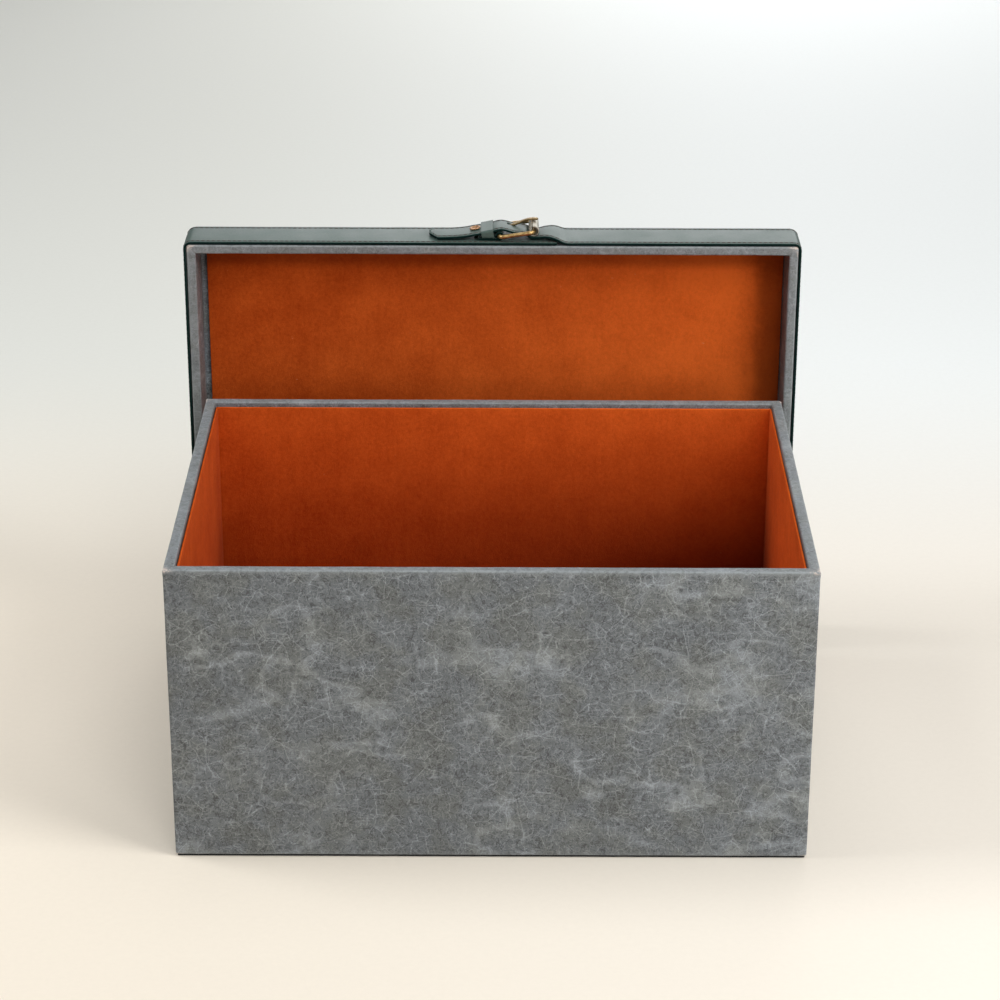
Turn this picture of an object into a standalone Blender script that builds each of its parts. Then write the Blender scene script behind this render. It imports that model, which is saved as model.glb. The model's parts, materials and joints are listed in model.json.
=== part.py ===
"""Archival box with a loose belted lid, modelled as separate pieces.

Metres, +Z up. The origin is the centre of the box's underside. The front of the
box faces -Y. The lid stands on its long edge behind the box, open side to the
front, with its buckle on top.
"""

import math

import bmesh
import bpy
from mathutils import Matrix, Vector

# ---------------------------------------------------------------- driving sizes
BOX_WIDTH = 0.3556
BOX_DEPTH = 0.2520
BOX_HEIGHT = 0.1780
LID_WIDTH = 0.3738
LID_BREADTH = 0.2710
LID_DEPTH = 0.0375
LID_STAND_OFF = 0.0130      # from the box's back to the lid's rim
LID_SHIFT = -0.0010         # the lid's middle, along X
BELT_WIDTH = 0.0300
BELT_THICKNESS = 0.0019

# ---------------------------------------------------------------- materials' thicknesses
LEATHER = 0.0006
GAP = 0.0003                # glue line left between neighbouring pieces
SMALL_GAP = 0.00015         # the same, in the buckle's thin layers
BOX_BOARD = 0.0043
LID_BOARD = 0.0037
BASE_CLOTH = 0.0010
BASE_CLOTH_INSET = 0.0010
LINING = 0.0012
LINING_DROP = 0.0030        # the lining's top edge lies this far below the rim
LID_LINING = 0.0010
LID_LINING_MARGIN = 0.0012  # above and below the lid's lining
LID_LINING_LEFT = 0.0034    # the lining is glued a little to the right
LID_LINING_RIGHT = 0.0004

# ---------------------------------------------------------------- edges and corners
BOX_CORNER = 0.0013
BOX_RIM_ROUND = 0.0011
LID_CORNER = 0.0028
LID_RIM_ROUND = 0.0011
INNER_CORNER = 0.0007
BOX_BOARD_ROUND = 0.0006
LID_BOARD_ROUND = 0.0013
LINING_ROUND = 0.0004
LID_LINING_ROUND = 0.0003
BOX_TURN_IN = 0.0180        # leather folded down inside the rim
BOX_TURN_UNDER = 0.0140     # leather folded under the base
LID_TURN_IN = 0.0100        # leather folded on to the lid's top board
ARC_STEPS = 4
CORNER_STEPS = 5
WRAP_STEPS = 9              # round the heel bar
EYE_STEPS = 20
TURNED_STEPS = 32
WELD = 0.00001
LEATHER_SHARP = math.radians(35)
METAL_SHARP = math.radians(45)

# ---------------------------------------------------------------- derived sizes of the box
BOX_WALL = BOX_BOARD + 2 * (LEATHER + GAP)
BOX_SKIN = LEATHER + GAP
COVER_BOTTOM = BASE_CLOTH + GAP
BOARD_BOTTOM = COVER_BOTTOM + BOX_SKIN
BOX_HALF_X = BOX_WIDTH / 2
BOX_HALF_Y = BOX_DEPTH / 2
BASE_BOARD_TOP = BOARD_BOTTOM + BOX_BOARD
LINING_OFFSET = BOX_WALL + GAP
FLOOR_TOP = BASE_BOARD_TOP + GAP + LINING
LINING_TOP = BOX_HEIGHT - LINING_DROP

# ---------------------------------------------------------------- derived sizes of the lid
LID_WALL = LID_BOARD + 2 * (LEATHER + GAP)
LID_SKIN = LEATHER + GAP
LID_HALF_X = LID_WIDTH / 2
LID_HALF_Y = LID_BREADTH / 2
LID_TOP_BOARD = 0.0027
LID_TOP_BOARD_Z = LID_DEPTH - LID_SKIN - LID_TOP_BOARD
LID_FLANGE_Z = LID_TOP_BOARD_Z - GAP - LEATHER
LID_LINING_Z = LID_FLANGE_Z - GAP - LID_LINING
BELT_LOW = 0.0004           # from the lid's rim to the belt's edge
BELT_STANDS = GAP + BELT_THICKNESS
LID_RIM_Y = BOX_HALF_Y + LID_STAND_OFF
LID_CENTRE_Z = BELT_STANDS + LID_HALF_Y

# ---------------------------------------------------------------- the buckle's sizes
# Along the belt, X is measured from the lid's centre. Heights are measured from the
# top surface of the belt that the buckle lies on.
WIRE = 0.0013               # radius of the frame's wire
ROLLER_OUTER = 0.0031
ROLLER_INNER = 0.0027
ROLLER_LENGTH = 0.0192
ROLLER_EDGE = 0.0001
HEEL_X = 0.0042
CHAPE = 0.0012              # leather folded round the heel bar
HEEL_HEIGHT = 2 * SMALL_GAP + CHAPE + WIRE
ROLLER_X = 0.0252
ROLLER_LIFT = 0.0007        # the strap's underside above the belt under the roller
ROLLER_HEIGHT = ROLLER_LIFT + BELT_THICKNESS + GAP + ROLLER_OUTER
BUCKLE_ACROSS = 0.0139      # the buckle's middle, from the lid's rim
FRAME_HALF_ACROSS = 0.0119  # to the middle of the side bars
FRAME_BEND = 0.0026
FRAME_BEND_STEPS = 6
STRAP_HALF = 0.0096
CHAPE_TAIL_X = -0.0084
CHAPE_WRAP_END = math.radians(120)
CHAPE_UPPER_X = 0.0020      # where the tab's upper layer meets the keeper
CHAPE_UPPER_HEIGHT = 0.00245
CHAPE_UPPER = 0.0009        # the upper layer is pared down to this
CHAPE_END_X = -0.0062
CHAPE_END_HEIGHT = 0.0022
CHAPE_END = 0.0006
CHAPE_SLOT_LEFT = 0.0034    # left of the heel bar
CHAPE_SLOT_RIGHT = 0.0078   # right of the heel bar
CHAPE_SLOT_LOW = -0.002
CHAPE_SLOT_HIGH = 0.008
PRONG_WIDTH = 0.0026
PRONG_THICKNESS = 0.0014
PRONG_SHIFT = 0.0030        # the prong sits off the buckle's middle
PRONG_EYE_CLEARANCE = 0.00015
PRONG_EYE = 0.0006
PRONG_KNEE_X = 0.0222
PRONG_END_X = 0.0280
PRONG_END_RISE = 0.0001
PRONG_END_ROUND = 0.0004
PRONG_SLOT_CLEARANCE = 0.0004
PRONG_SWING = math.radians(10)
KEEPER_X = -0.0035
KEEPER_LENGTH = 0.0073
KEEPER = 0.0005
KEEPER_HALF = STRAP_HALF + 0.0003
KEEPER_LEAN = 0.22          # its lower side lies this much to the right for each unit down
KEEPER_ROUND = 0.0009
KEEPER_INNER_ROUND = 0.0004
KEEPER_STEPS = 6
RIVET_X = -0.0105
RIVET_HEAD = 0.0034
RIVET_SHANK = 0.0012
RIVET_BORE = 0.0016         # radius of the hollow in its head
RIVET_RISE = 0.0010
RIVET_ROUND = 0.0003
CUTTER_DEPTH = 0.012
STRAP_TIP_X = -0.0388
TIP_FRONT_CUT = (0.0052, 0.0088)    # cut off the tip's front corner: along, across
TIP_BACK_CUT = (0.0028, 0.0042)
TIP_HEIGHT = 0.0013         # the strap's middle surface at its tip
UNDER_END_X = 0.0393        # where the belt's inner end lies under the strap
TAPER_WIDE_X = 0.0450
TAPER_NARROW_X = 0.0270

# The strap's middle surface through the buckle: place along the belt and height.
STRAP_ROUTE = [
    (0.0520, -BELT_THICKNESS / 2),
    (0.0462, -0.00093),
    (0.0440, -0.0006),
    (0.0418, 0.0002),
    (0.0397, 0.0012),
    (0.0362, 0.0022),
    (0.0324, 0.0024),
    (0.0290, 0.0019),
    (ROLLER_X, ROLLER_LIFT + BELT_THICKNESS / 2),
    (0.0237, 0.0018),
    (0.0225, 0.0024),
    (0.0212, 0.0034),
    (0.0192, 0.0041),
    (0.0160, 0.0045),
    (0.0130, 0.0049),
    (0.0102, 0.0057),
    (0.0077, 0.0064),
    (0.0053, 0.0067),
    (0.0030, 0.0064),
    (0.0004, 0.0056),
    (KEEPER_X, 0.0047),
    (-0.0073, 0.0040),
    (-0.0113, 0.0033),
    (-0.0174, 0.0022),
    (-0.0235, 0.00165),
    (-0.0320, 0.0014),
    (STRAP_TIP_X, TIP_HEIGHT),
]


# ---------------------------------------------------------------- scene and materials
def clear_scene():
    for item in list(bpy.data.objects):
        bpy.data.objects.remove(item, do_unlink=True)


def make_collection(name):
    collection = bpy.data.collections.new(name)
    bpy.context.scene.collection.children.link(collection)
    return collection


def make_material(name, colour, roughness, metallic=0.0):
    material = bpy.data.materials.new(name)
    material.use_nodes = True
    shader = material.node_tree.nodes["Principled BSDF"]
    shader.inputs["Base Color"].default_value = (*colour, 1.0)
    shader.inputs["Roughness"].default_value = roughness
    shader.inputs["Metallic"].default_value = metallic
    return material


clear_scene()
PARTS = make_collection("archival_box")
CUTTERS = make_collection("cutters")
GREYBOARD = make_material("greyboard", (0.36, 0.33, 0.28), 0.9)
GREY_LEATHER = make_material("grey_leather", (0.14, 0.15, 0.14), 0.55)
BLACK_CLOTH = make_material("black_cloth", (0.02, 0.02, 0.02), 0.9)
ORANGE_SUEDE = make_material("orange_suede", (0.40, 0.09, 0.02), 0.95)
GREEN_LEATHER = make_material("green_leather", (0.05, 0.11, 0.09), 0.4)
AGED_BRASS = make_material("aged_brass", (0.45, 0.33, 0.16), 0.35, 1.0)


# ---------------------------------------------------------------- building helpers
def place(name, mesh, material, parent=None, collection=PARTS):
    piece = bpy.data.objects.new(name, mesh)
    mesh.materials.append(material)
    collection.objects.link(piece)
    piece.parent = parent
    return piece


def block(name, low, high, material, parent=None, rounding=0.0):
    """A box between two corners, with its edges rounded when rounding is given."""
    low = Vector(low)
    high = Vector(high)
    size = high - low
    bm = bmesh.new()
    bmesh.ops.create_cube(bm, size=1.0, matrix=Matrix.Diagonal((*size, 1.0)))
    mesh = bpy.data.meshes.new(name)
    bm.to_mesh(mesh)
    bm.free()
    piece = place(name, mesh, material, parent)
    piece.location = (low + high) / 2
    if rounding > 0:
        bevel = piece.modifiers.new("rounded_edges", "BEVEL")
        bevel.width = rounding
        bevel.segments = 2
    return piece


def arc(centre, radius, start, end, steps=ARC_STEPS):
    """Points of a circular arc in a plane, from one angle to the other."""
    points = []
    for step in range(steps + 1):
        angle = start + (end - start) * step / steps
        points.append((centre[0] + radius * math.cos(angle), centre[1] + radius * math.sin(angle)))
    return points


def rounded_rectangle(half_x, half_y, radius, steps=CORNER_STEPS):
    """An outline with round corners, anticlockwise."""
    corner_centres = [
        (half_x - radius, half_y - radius),
        (radius - half_x, half_y - radius),
        (radius - half_x, radius - half_y),
        (half_x - radius, radius - half_y),
    ]
    outline = []
    for quarter, centre in enumerate(corner_centres):
        start = quarter * math.pi / 2
        outline += arc(centre, radius, start, start + math.pi / 2, steps)
    return outline


def wrapped_leather(name, half_x, half_y, profile, material, parent=None, capped=False):
    """A leather skin around a tray. The profile lists its visible surface as
    (distance in from the outline, height, corner radius)."""
    bm = bmesh.new()
    rings = []
    for inset, height, radius in profile:
        outline = rounded_rectangle(half_x - inset, half_y - inset, radius)
        rings.append([bm.verts.new((x, y, height)) for x, y in outline])
    for lower, upper in zip(rings, rings[1:]):
        for index in range(len(lower)):
            following = (index + 1) % len(lower)
            bm.faces.new((lower[index], lower[following], upper[following], upper[index]))
    if capped:
        bm.faces.new(rings[-1])
    mesh = bpy.data.meshes.new(name)
    bm.to_mesh(mesh)
    bm.free()
    mesh.shade_smooth()
    mesh.set_sharp_from_angle(angle=LEATHER_SHARP)
    piece = place(name, mesh, material, parent)
    skin = piece.modifiers.new("leather", "SOLIDIFY")
    skin.thickness = LEATHER
    skin.offset = -1.0
    skin.use_even_offset = True
    return piece


def outline_solid(name, outline, thickness, material, parent=None, collection=PARTS):
    """A flat outline in the local XZ plane, given a thickness along local Y."""
    curve = bpy.data.curves.new(name, "CURVE")
    curve.dimensions = "2D"
    curve.fill_mode = "BOTH"
    curve.extrude = thickness / 2
    spline = curve.splines.new("POLY")
    spline.points.add(len(outline) - 1)
    for point, (x, y) in zip(spline.points, outline):
        point.co = (x, y, 0.0, 1.0)
    spline.use_cyclic_u = True
    return solid_from_curve(name, curve, material, parent, collection)


def solid_from_curve(name, curve, material, parent=None, collection=PARTS):
    """The evaluated curve as one closed mesh, its caps welded on."""
    guide = bpy.data.objects.new(name + "_guide", curve)
    collection.objects.link(guide)
    bpy.context.view_layer.update()
    evaluated = guide.evaluated_get(bpy.context.evaluated_depsgraph_get())
    mesh = bpy.data.meshes.new_from_object(evaluated)
    bpy.data.objects.remove(guide, do_unlink=True)
    mesh.name = name
    bm = bmesh.new()
    bm.from_mesh(mesh)
    bmesh.ops.remove_doubles(bm, verts=bm.verts, dist=WELD)
    bmesh.ops.recalc_face_normals(bm, faces=bm.faces)
    bm.to_mesh(mesh)
    bm.free()
    mesh.materials.clear()
    return place(name, mesh, material, parent, collection)


def section_loft(name, sections, material, parent=None):
    """A closed solid through a row of sections that have the same number of points."""
    bm = bmesh.new()
    rings = []
    for section in sections:
        rings.append([bm.verts.new(point) for point in section])
    for lower, upper in zip(rings, rings[1:]):
        for index in range(len(lower)):
            following = (index + 1) % len(lower)
            bm.faces.new((lower[index], lower[following], upper[following], upper[index]))
    bm.faces.new(rings[0])
    bm.faces.new(rings[-1])
    bmesh.ops.recalc_face_normals(bm, faces=bm.faces)
    mesh = bpy.data.meshes.new(name)
    bm.to_mesh(mesh)
    bm.free()
    return place(name, mesh, material, parent)


def cut(piece, cutter, label):
    cutter.hide_render = True
    cutter.display_type = "WIRE"
    boolean = piece.modifiers.new(label, "BOOLEAN")
    boolean.operation = "DIFFERENCE"
    boolean.object = cutter


def drum(name, radius, depth, material, parent=None, sides=32, collection=PARTS):
    """A cylinder along its local Z."""
    bm = bmesh.new()
    bmesh.ops.create_cone(
        bm, cap_ends=True, segments=sides, radius1=radius, radius2=radius, depth=depth
    )
    mesh = bpy.data.meshes.new(name)
    bm.to_mesh(mesh)
    bm.free()
    mesh.shade_smooth()
    mesh.set_sharp_from_angle(angle=METAL_SHARP)
    return place(name, mesh, material, parent, collection)


# ---------------------------------------------------------------- the box
def build_base():
    inset = BASE_CLOTH_INSET
    block(
        "base_cover",
        (inset - BOX_HALF_X, inset - BOX_HALF_Y, 0.0),
        (BOX_HALF_X - inset, BOX_HALF_Y - inset, BASE_CLOTH),
        BLACK_CLOTH,
    )
    side = BOX_SKIN + BOX_BOARD + GAP
    block(
        "base_board",
        (side - BOX_HALF_X, side - BOX_HALF_Y, BOARD_BOTTOM),
        (BOX_HALF_X - side, BOX_HALF_Y - side, BASE_BOARD_TOP),
        GREYBOARD,
    )


def build_box_walls():
    top = BOX_HEIGHT - BOX_SKIN
    outer_x = BOX_HALF_X - BOX_SKIN
    outer_y = BOX_HALF_Y - BOX_SKIN
    for name, side in (("front_board", -1), ("back_board", 1)):
        y_pair = sorted((side * outer_y, side * (outer_y - BOX_BOARD)))
        block(
            name,
            (-outer_x, y_pair[0], BOARD_BOTTOM),
            (outer_x, y_pair[1], top),
            GREYBOARD,
            rounding=BOX_BOARD_ROUND,
        )
    end_y = outer_y - BOX_BOARD - GAP
    for name, side in (("left_board", -1), ("right_board", 1)):
        x_pair = sorted((side * outer_x, side * (outer_x - BOX_BOARD)))
        block(
            name,
            (x_pair[0], -end_y, BOARD_BOTTOM),
            (x_pair[1], end_y, top),
            GREYBOARD,
            rounding=BOX_BOARD_ROUND,
        )


def build_box_cover():
    """Grey leather: from inside the rim, over it, down the walls and under the base."""
    inner = BOX_WALL
    rim = BOX_RIM_ROUND
    top = BOX_HEIGHT
    profile = [(inner, top - BOX_TURN_IN, INNER_CORNER)]
    for x, z in arc((inner - rim, top - rim), rim, 0.0, math.pi / 2):
        profile.append((x, z, INNER_CORNER))
    for x, z in arc((rim, top - rim), rim, math.pi / 2, math.pi):
        profile.append((x, z, BOX_CORNER))
    for x, z in arc((rim, COVER_BOTTOM + rim), rim, math.pi, 1.5 * math.pi):
        profile.append((x, z, BOX_CORNER))
    profile.append((BOX_TURN_UNDER, COVER_BOTTOM, BOX_CORNER))
    profile.reverse()
    wrapped_leather("outer_cover", BOX_HALF_X, BOX_HALF_Y, profile, GREY_LEATHER)


def build_box_lining():
    floor_bottom = BASE_BOARD_TOP + GAP
    inner_x = BOX_HALF_X - LINING_OFFSET
    inner_y = BOX_HALF_Y - LINING_OFFSET
    block(
        "lining_floor",
        (-inner_x, -inner_y, floor_bottom),
        (inner_x, inner_y, FLOOR_TOP),
        ORANGE_SUEDE,
    )
    bottom = FLOOR_TOP + GAP
    for name, side in (("lining_front", -1), ("lining_back", 1)):
        y_pair = sorted((side * inner_y, side * (inner_y - LINING)))
        block(
            name,
            (-inner_x, y_pair[0], bottom),
            (inner_x, y_pair[1], LINING_TOP),
            ORANGE_SUEDE,
            rounding=LINING_ROUND,
        )
    end_y = inner_y - LINING - GAP
    for name, side in (("lining_left", -1), ("lining_right", 1)):
        x_pair = sorted((side * inner_x, side * (inner_x - LINING)))
        block(
            name,
            (x_pair[0], -end_y, bottom),
            (x_pair[1], end_y, LINING_TOP),
            ORANGE_SUEDE,
            rounding=LINING_ROUND,
        )


# ---------------------------------------------------------------- the lid
# The lid is drawn as it lies on the closed box: its rim at local Z 0, its top panel
# above and its buckle towards local -Y. Its parent stands it up behind the box.
def build_lid_parent():
    parent = bpy.data.objects.new("lid_stand", None)
    PARTS.objects.link(parent)
    parent.location = (LID_SHIFT, LID_RIM_Y, LID_CENTRE_Z)
    parent.rotation_euler = (-math.pi / 2, 0.0, 0.0)
    return parent


def build_lid_boards(lid):
    outer_x = LID_HALF_X - LID_SKIN
    outer_y = LID_HALF_Y - LID_SKIN
    block(
        "lid_top_board",
        (-outer_x, -outer_y, LID_TOP_BOARD_Z),
        (outer_x, outer_y, LID_TOP_BOARD_Z + LID_TOP_BOARD),
        GREYBOARD,
        lid,
        LID_BOARD_ROUND,
    )
    top = LID_TOP_BOARD_Z - GAP
    for name, side in (("lid_front_board", -1), ("lid_back_board", 1)):
        y_pair = sorted((side * outer_y, side * (outer_y - LID_BOARD)))
        block(
            name,
            (-outer_x, y_pair[0], LID_SKIN),
            (outer_x, y_pair[1], top),
            GREYBOARD,
            lid,
            LID_BOARD_ROUND,
        )
    end_y = outer_y - LID_BOARD - GAP
    for name, side in (("lid_left_board", -1), ("lid_right_board", 1)):
        x_pair = sorted((side * outer_x, side * (outer_x - LID_BOARD)))
        block(
            name,
            (x_pair[0], -end_y, LID_SKIN),
            (x_pair[1], end_y, top),
            GREYBOARD,
            lid,
            LID_BOARD_ROUND,
        )


def build_lid_cover(lid):
    """Grey leather: from under the lining, down the inside of the skirt, round its
    rim, up the outside and across the top panel."""
    inner = LID_WALL
    rim = LID_RIM_ROUND
    profile = [
        (inner + LID_TURN_IN, LID_FLANGE_Z, INNER_CORNER),
        (inner, LID_FLANGE_Z, INNER_CORNER),
    ]
    for x, z in arc((inner - rim, rim), rim, 0.0, -math.pi / 2):
        profile.append((x, z, INNER_CORNER))
    for x, z in arc((rim, rim), rim, 1.5 * math.pi, math.pi):
        profile.append((x, z, LID_CORNER))
    for x, z in arc((rim, LID_DEPTH - rim), rim, math.pi, math.pi / 2):
        profile.append((x, z, LID_CORNER))
    wrapped_leather(
        "lid_cover", LID_HALF_X, LID_HALF_Y, profile, GREY_LEATHER, lid, capped=True
    )


def build_lid_lining(lid):
    left = LID_WALL + LID_LINING_LEFT - LID_HALF_X
    right = LID_HALF_X - LID_WALL - LID_LINING_RIGHT
    half_y = LID_HALF_Y - LID_WALL - LID_LINING_MARGIN
    block(
        "lid_lining",
        (left, -half_y, LID_LINING_Z),
        (right, half_y, LID_LINING_Z + LID_LINING),
        ORANGE_SUEDE,
        lid,
        rounding=LID_LINING_ROUND,
    )


# ---------------------------------------------------------------- the belt
def belt_y(height):
    """Local Y of a point at this height above the belt on the lid's buckle side."""
    return -(LID_HALF_Y + BELT_STANDS + height)


def smooth_route(points, steps=4):
    """A curve through the given points (Catmull-Rom)."""
    padded = [points[0]] + points + [points[-1]]
    route = []
    for index in range(1, len(padded) - 2):
        before, start, end, after = padded[index - 1:index + 3]
        for step in range(steps):
            t = step / steps
            route.append(tuple(
                0.5 * (2 * b + (c - a) * t + (2 * a - 5 * b + 4 * c - d) * t ** 2
                       + (3 * b - a - 3 * c + d) * t ** 3)
                for a, b, c, d in zip(before, start, end, after)
            ))
    route.append(points[-1])
    return route


def strap_at(x):
    """Height of the strap's middle surface at a place along the belt, and its slope."""
    route = smooth_route(STRAP_ROUTE)
    for (x1, h1), (x2, h2) in zip(route, route[1:]):
        if x2 <= x <= x1:
            slope = (h2 - h1) / (x2 - x1)
            return h1 + slope * (x - x1), slope
    return TIP_HEIGHT, 0.0


def strap_edges(x):
    """The strap's two edges, as distances from the lid's rim, at a place after the
    belt has come round: it narrows towards the buckle and again at its tip."""
    wide_low = BELT_LOW
    wide_high = BELT_LOW + BELT_WIDTH
    share = (TAPER_WIDE_X - x) / (TAPER_WIDE_X - TAPER_NARROW_X)
    share = min(1.0, max(0.0, share))
    share = share * share * (3 - 2 * share)
    low = wide_low + (BUCKLE_ACROSS - STRAP_HALF - wide_low) * share
    high = wide_high + (BUCKLE_ACROSS + STRAP_HALF - wide_high) * share
    low += tip_trim(x, *TIP_FRONT_CUT)
    high -= tip_trim(x, *TIP_BACK_CUT)
    return low, high


def tip_trim(x, along, across):
    """How much of the strap's width a corner's cut takes off at a place near its tip."""
    return across * max(0.0, (STRAP_TIP_X + along - x) / along)


def belt_path():
    """Middle of the belt, with its edges: (x, y, low edge, high edge)."""
    middle = GAP + BELT_THICKNESS / 2
    side_x = LID_HALF_X + middle
    side_y = LID_HALF_Y + middle
    radius = LID_CORNER + middle
    full = (BELT_LOW, BELT_LOW + BELT_WIDTH)
    path = [(UNDER_END_X, -side_y, *full)]
    outline = rounded_rectangle(side_x, side_y, radius)
    count = CORNER_STEPS + 1
    for corner in (2, 1, 0, 3):
        points = outline[corner * count:(corner + 1) * count]
        for x, y in reversed(points):
            path.append((x, y, *full))
    for x, height in strap_places():
        path.append((x, belt_y(height), *strap_edges(x)))
    return path


def strap_places():
    """The strap's route with a place where each corner's cut begins."""
    places = smooth_route(STRAP_ROUTE)
    for along, _ in (TIP_FRONT_CUT, TIP_BACK_CUT):
        x = STRAP_TIP_X + along
        places.append((x, strap_at(x)[0]))
    return sorted(places, reverse=True)


def build_belt(lid):
    path = belt_path()
    sections = []
    for index, (x, y, low, high) in enumerate(path):
        before = path[max(index - 1, 0)]
        after = path[min(index + 1, len(path) - 1)]
        along = Vector((after[0] - before[0], after[1] - before[1])).normalized()
        out = Vector((along.y, -along.x)) * (BELT_THICKNESS / 2)
        sections.append([
            (x + out.x, y + out.y, low),
            (x + out.x, y + out.y, high),
            (x - out.x, y - out.y, high),
            (x - out.x, y - out.y, low),
        ])
    belt = section_loft("belt_strap", sections, GREEN_LEATHER, lid)
    cut(belt, prong_slot_cutter(lid), "prong_slot")
    cut(belt, rivet_hole_cutter(lid), "rivet_hole")
    return belt


def prong_slot_cutter(lid):
    """The slanted hole that the prong comes up through, wide enough for its swing."""
    knee = Vector((PRONG_KNEE_X - HEEL_X, prong_top_height() - HEEL_HEIGHT))
    near = knee.normalized() * WIRE
    normal = Vector((-knee.y, knee.x)).normalized()
    clearance = normal * (PRONG_THICKNESS / 2 + PRONG_SLOT_CLEARANCE)
    turn = Matrix.Rotation(PRONG_SWING, 2)
    corners = [near - clearance, knee - clearance]
    corners += [turn @ (knee + clearance), turn @ (near + clearance)]
    outline = [(HEEL_X + c.x, HEEL_HEIGHT + c.y) for c in corners]
    cutter = outline_solid(
        "prong_slot_cutter",
        outline,
        PRONG_WIDTH + 2 * PRONG_SLOT_CLEARANCE,
        GREEN_LEATHER,
        lid,
        CUTTERS,
    )
    cutter.rotation_euler = (math.pi, 0.0, 0.0)
    cutter.location = (0.0, belt_y(0.0), BUCKLE_ACROSS + PRONG_SHIFT)
    return cutter


def rivet_hole_cutter(lid):
    height, slope = strap_at(RIVET_X)
    cutter = drum(
        "rivet_hole_cutter", RIVET_SHANK + SMALL_GAP, CUTTER_DEPTH, GREEN_LEATHER, lid, collection=CUTTERS
    )
    cutter.rotation_euler = (math.pi / 2, 0.0, -math.atan(slope))
    cutter.location = (RIVET_X, belt_y(height), BUCKLE_ACROSS)
    return cutter


def build_rivet(lid):
    """A tubular rivet: a shank through both layers of belt and a round hollow head."""
    height, slope = strap_at(RIVET_X)
    head_base = BELT_THICKNESS / 2 + SMALL_GAP
    shank_end = GAP - BELT_THICKNESS - height
    profile = [
        (0.0, shank_end),
        (RIVET_SHANK, shank_end),
        (RIVET_SHANK, head_base),
        (RIVET_HEAD - RIVET_ROUND, head_base),
        (RIVET_HEAD, head_base + RIVET_ROUND),
        (RIVET_HEAD - RIVET_ROUND, head_base + 0.7 * RIVET_RISE),
        (RIVET_HEAD - 3 * RIVET_ROUND, head_base + RIVET_RISE),
        (RIVET_BORE, head_base + 0.9 * RIVET_RISE),
        (RIVET_BORE - RIVET_ROUND, head_base + 0.4 * RIVET_RISE),
        (0.0, head_base + 0.3 * RIVET_RISE),
    ]
    rivet = turned("strap_rivet", profile, AGED_BRASS, lid)
    rivet.rotation_euler = (math.pi / 2, 0.0, -math.atan(slope))
    rivet.location = (RIVET_X, belt_y(height), BUCKLE_ACROSS)


def turned(name, profile, material, parent):
    """A solid turned about its local Z from a profile of (radius, height)."""
    bm = bmesh.new()
    verts = [bm.verts.new((radius, 0.0, height)) for radius, height in profile]
    edges = [bm.edges.new(pair) for pair in zip(verts, verts[1:])]
    bmesh.ops.spin(
        bm,
        geom=verts + edges,
        axis=(0.0, 0.0, 1.0),
        cent=(0.0, 0.0, 0.0),
        steps=TURNED_STEPS,
        angle=2 * math.pi,
        use_merge=True,
    )
    bmesh.ops.remove_doubles(bm, verts=bm.verts, dist=WELD)
    bmesh.ops.recalc_face_normals(bm, faces=bm.faces)
    mesh = bpy.data.meshes.new(name)
    bm.to_mesh(mesh)
    bm.free()
    mesh.shade_smooth()
    mesh.set_sharp_from_angle(angle=METAL_SHARP)
    return place(name, mesh, material, parent)


# ---------------------------------------------------------------- the buckle
def chape_layers():
    """The folded tab's outline along the belt, as (x, height)."""
    heel = (HEEL_X, HEEL_HEIGHT)
    heel_radius = WIRE + SMALL_GAP
    inside = [(CHAPE_TAIL_X, SMALL_GAP + CHAPE)]
    inside += arc(heel, heel_radius, -math.pi / 2, CHAPE_WRAP_END, WRAP_STEPS)
    inside.append((CHAPE_UPPER_X, CHAPE_UPPER_HEIGHT))
    inside.append((CHAPE_END_X, CHAPE_END_HEIGHT))
    outside = [(CHAPE_TAIL_X, SMALL_GAP)]
    outside += arc(heel, heel_radius + CHAPE, -math.pi / 2, CHAPE_WRAP_END, WRAP_STEPS)
    outside.append((CHAPE_UPPER_X, CHAPE_UPPER_HEIGHT + CHAPE_UPPER))
    outside.append((CHAPE_END_X, CHAPE_END_HEIGHT + CHAPE_END))
    return inside, outside


def build_chape(lid):
    inside, outside = chape_layers()
    outline = outside + list(reversed(inside))
    chape = outline_solid("buckle_chape", outline, 2 * STRAP_HALF, GREEN_LEATHER, lid)
    chape.rotation_euler = (math.pi, 0.0, 0.0)
    chape.location = (0.0, belt_y(0.0), BUCKLE_ACROSS)
    slot = outline_solid(
        "chape_slot_cutter",
        [
            (HEEL_X - CHAPE_SLOT_LEFT, CHAPE_SLOT_LOW),
            (HEEL_X + CHAPE_SLOT_RIGHT, CHAPE_SLOT_LOW),
            (HEEL_X + CHAPE_SLOT_RIGHT, CHAPE_SLOT_HIGH),
            (HEEL_X - CHAPE_SLOT_LEFT, CHAPE_SLOT_HIGH),
        ],
        PRONG_WIDTH + 4 * PRONG_SLOT_CLEARANCE,
        GREEN_LEATHER,
        lid,
        CUTTERS,
    )
    slot.rotation_euler = (math.pi, 0.0, 0.0)
    slot.location = (0.0, belt_y(0.0), BUCKLE_ACROSS + PRONG_SHIFT)
    cut(chape, slot, "prong_slot")


def build_keeper(lid):
    """A leather loop round the strap, its lower side held inside the folded tab."""
    left = KEEPER_X - KEEPER_LENGTH / 2
    right = KEEPER_X + KEEPER_LENGTH / 2
    lower = 2 * SMALL_GAP + CHAPE
    sections = []
    for step in range(KEEPER_STEPS + 1):
        x = left + (right - left) * step / KEEPER_STEPS
        top = strap_at(x)[0] + BELT_THICKNESS / 2 + SMALL_GAP
        sections.append((x, lower, top))
    build_loop("keeper_loop", sections, lid)


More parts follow.
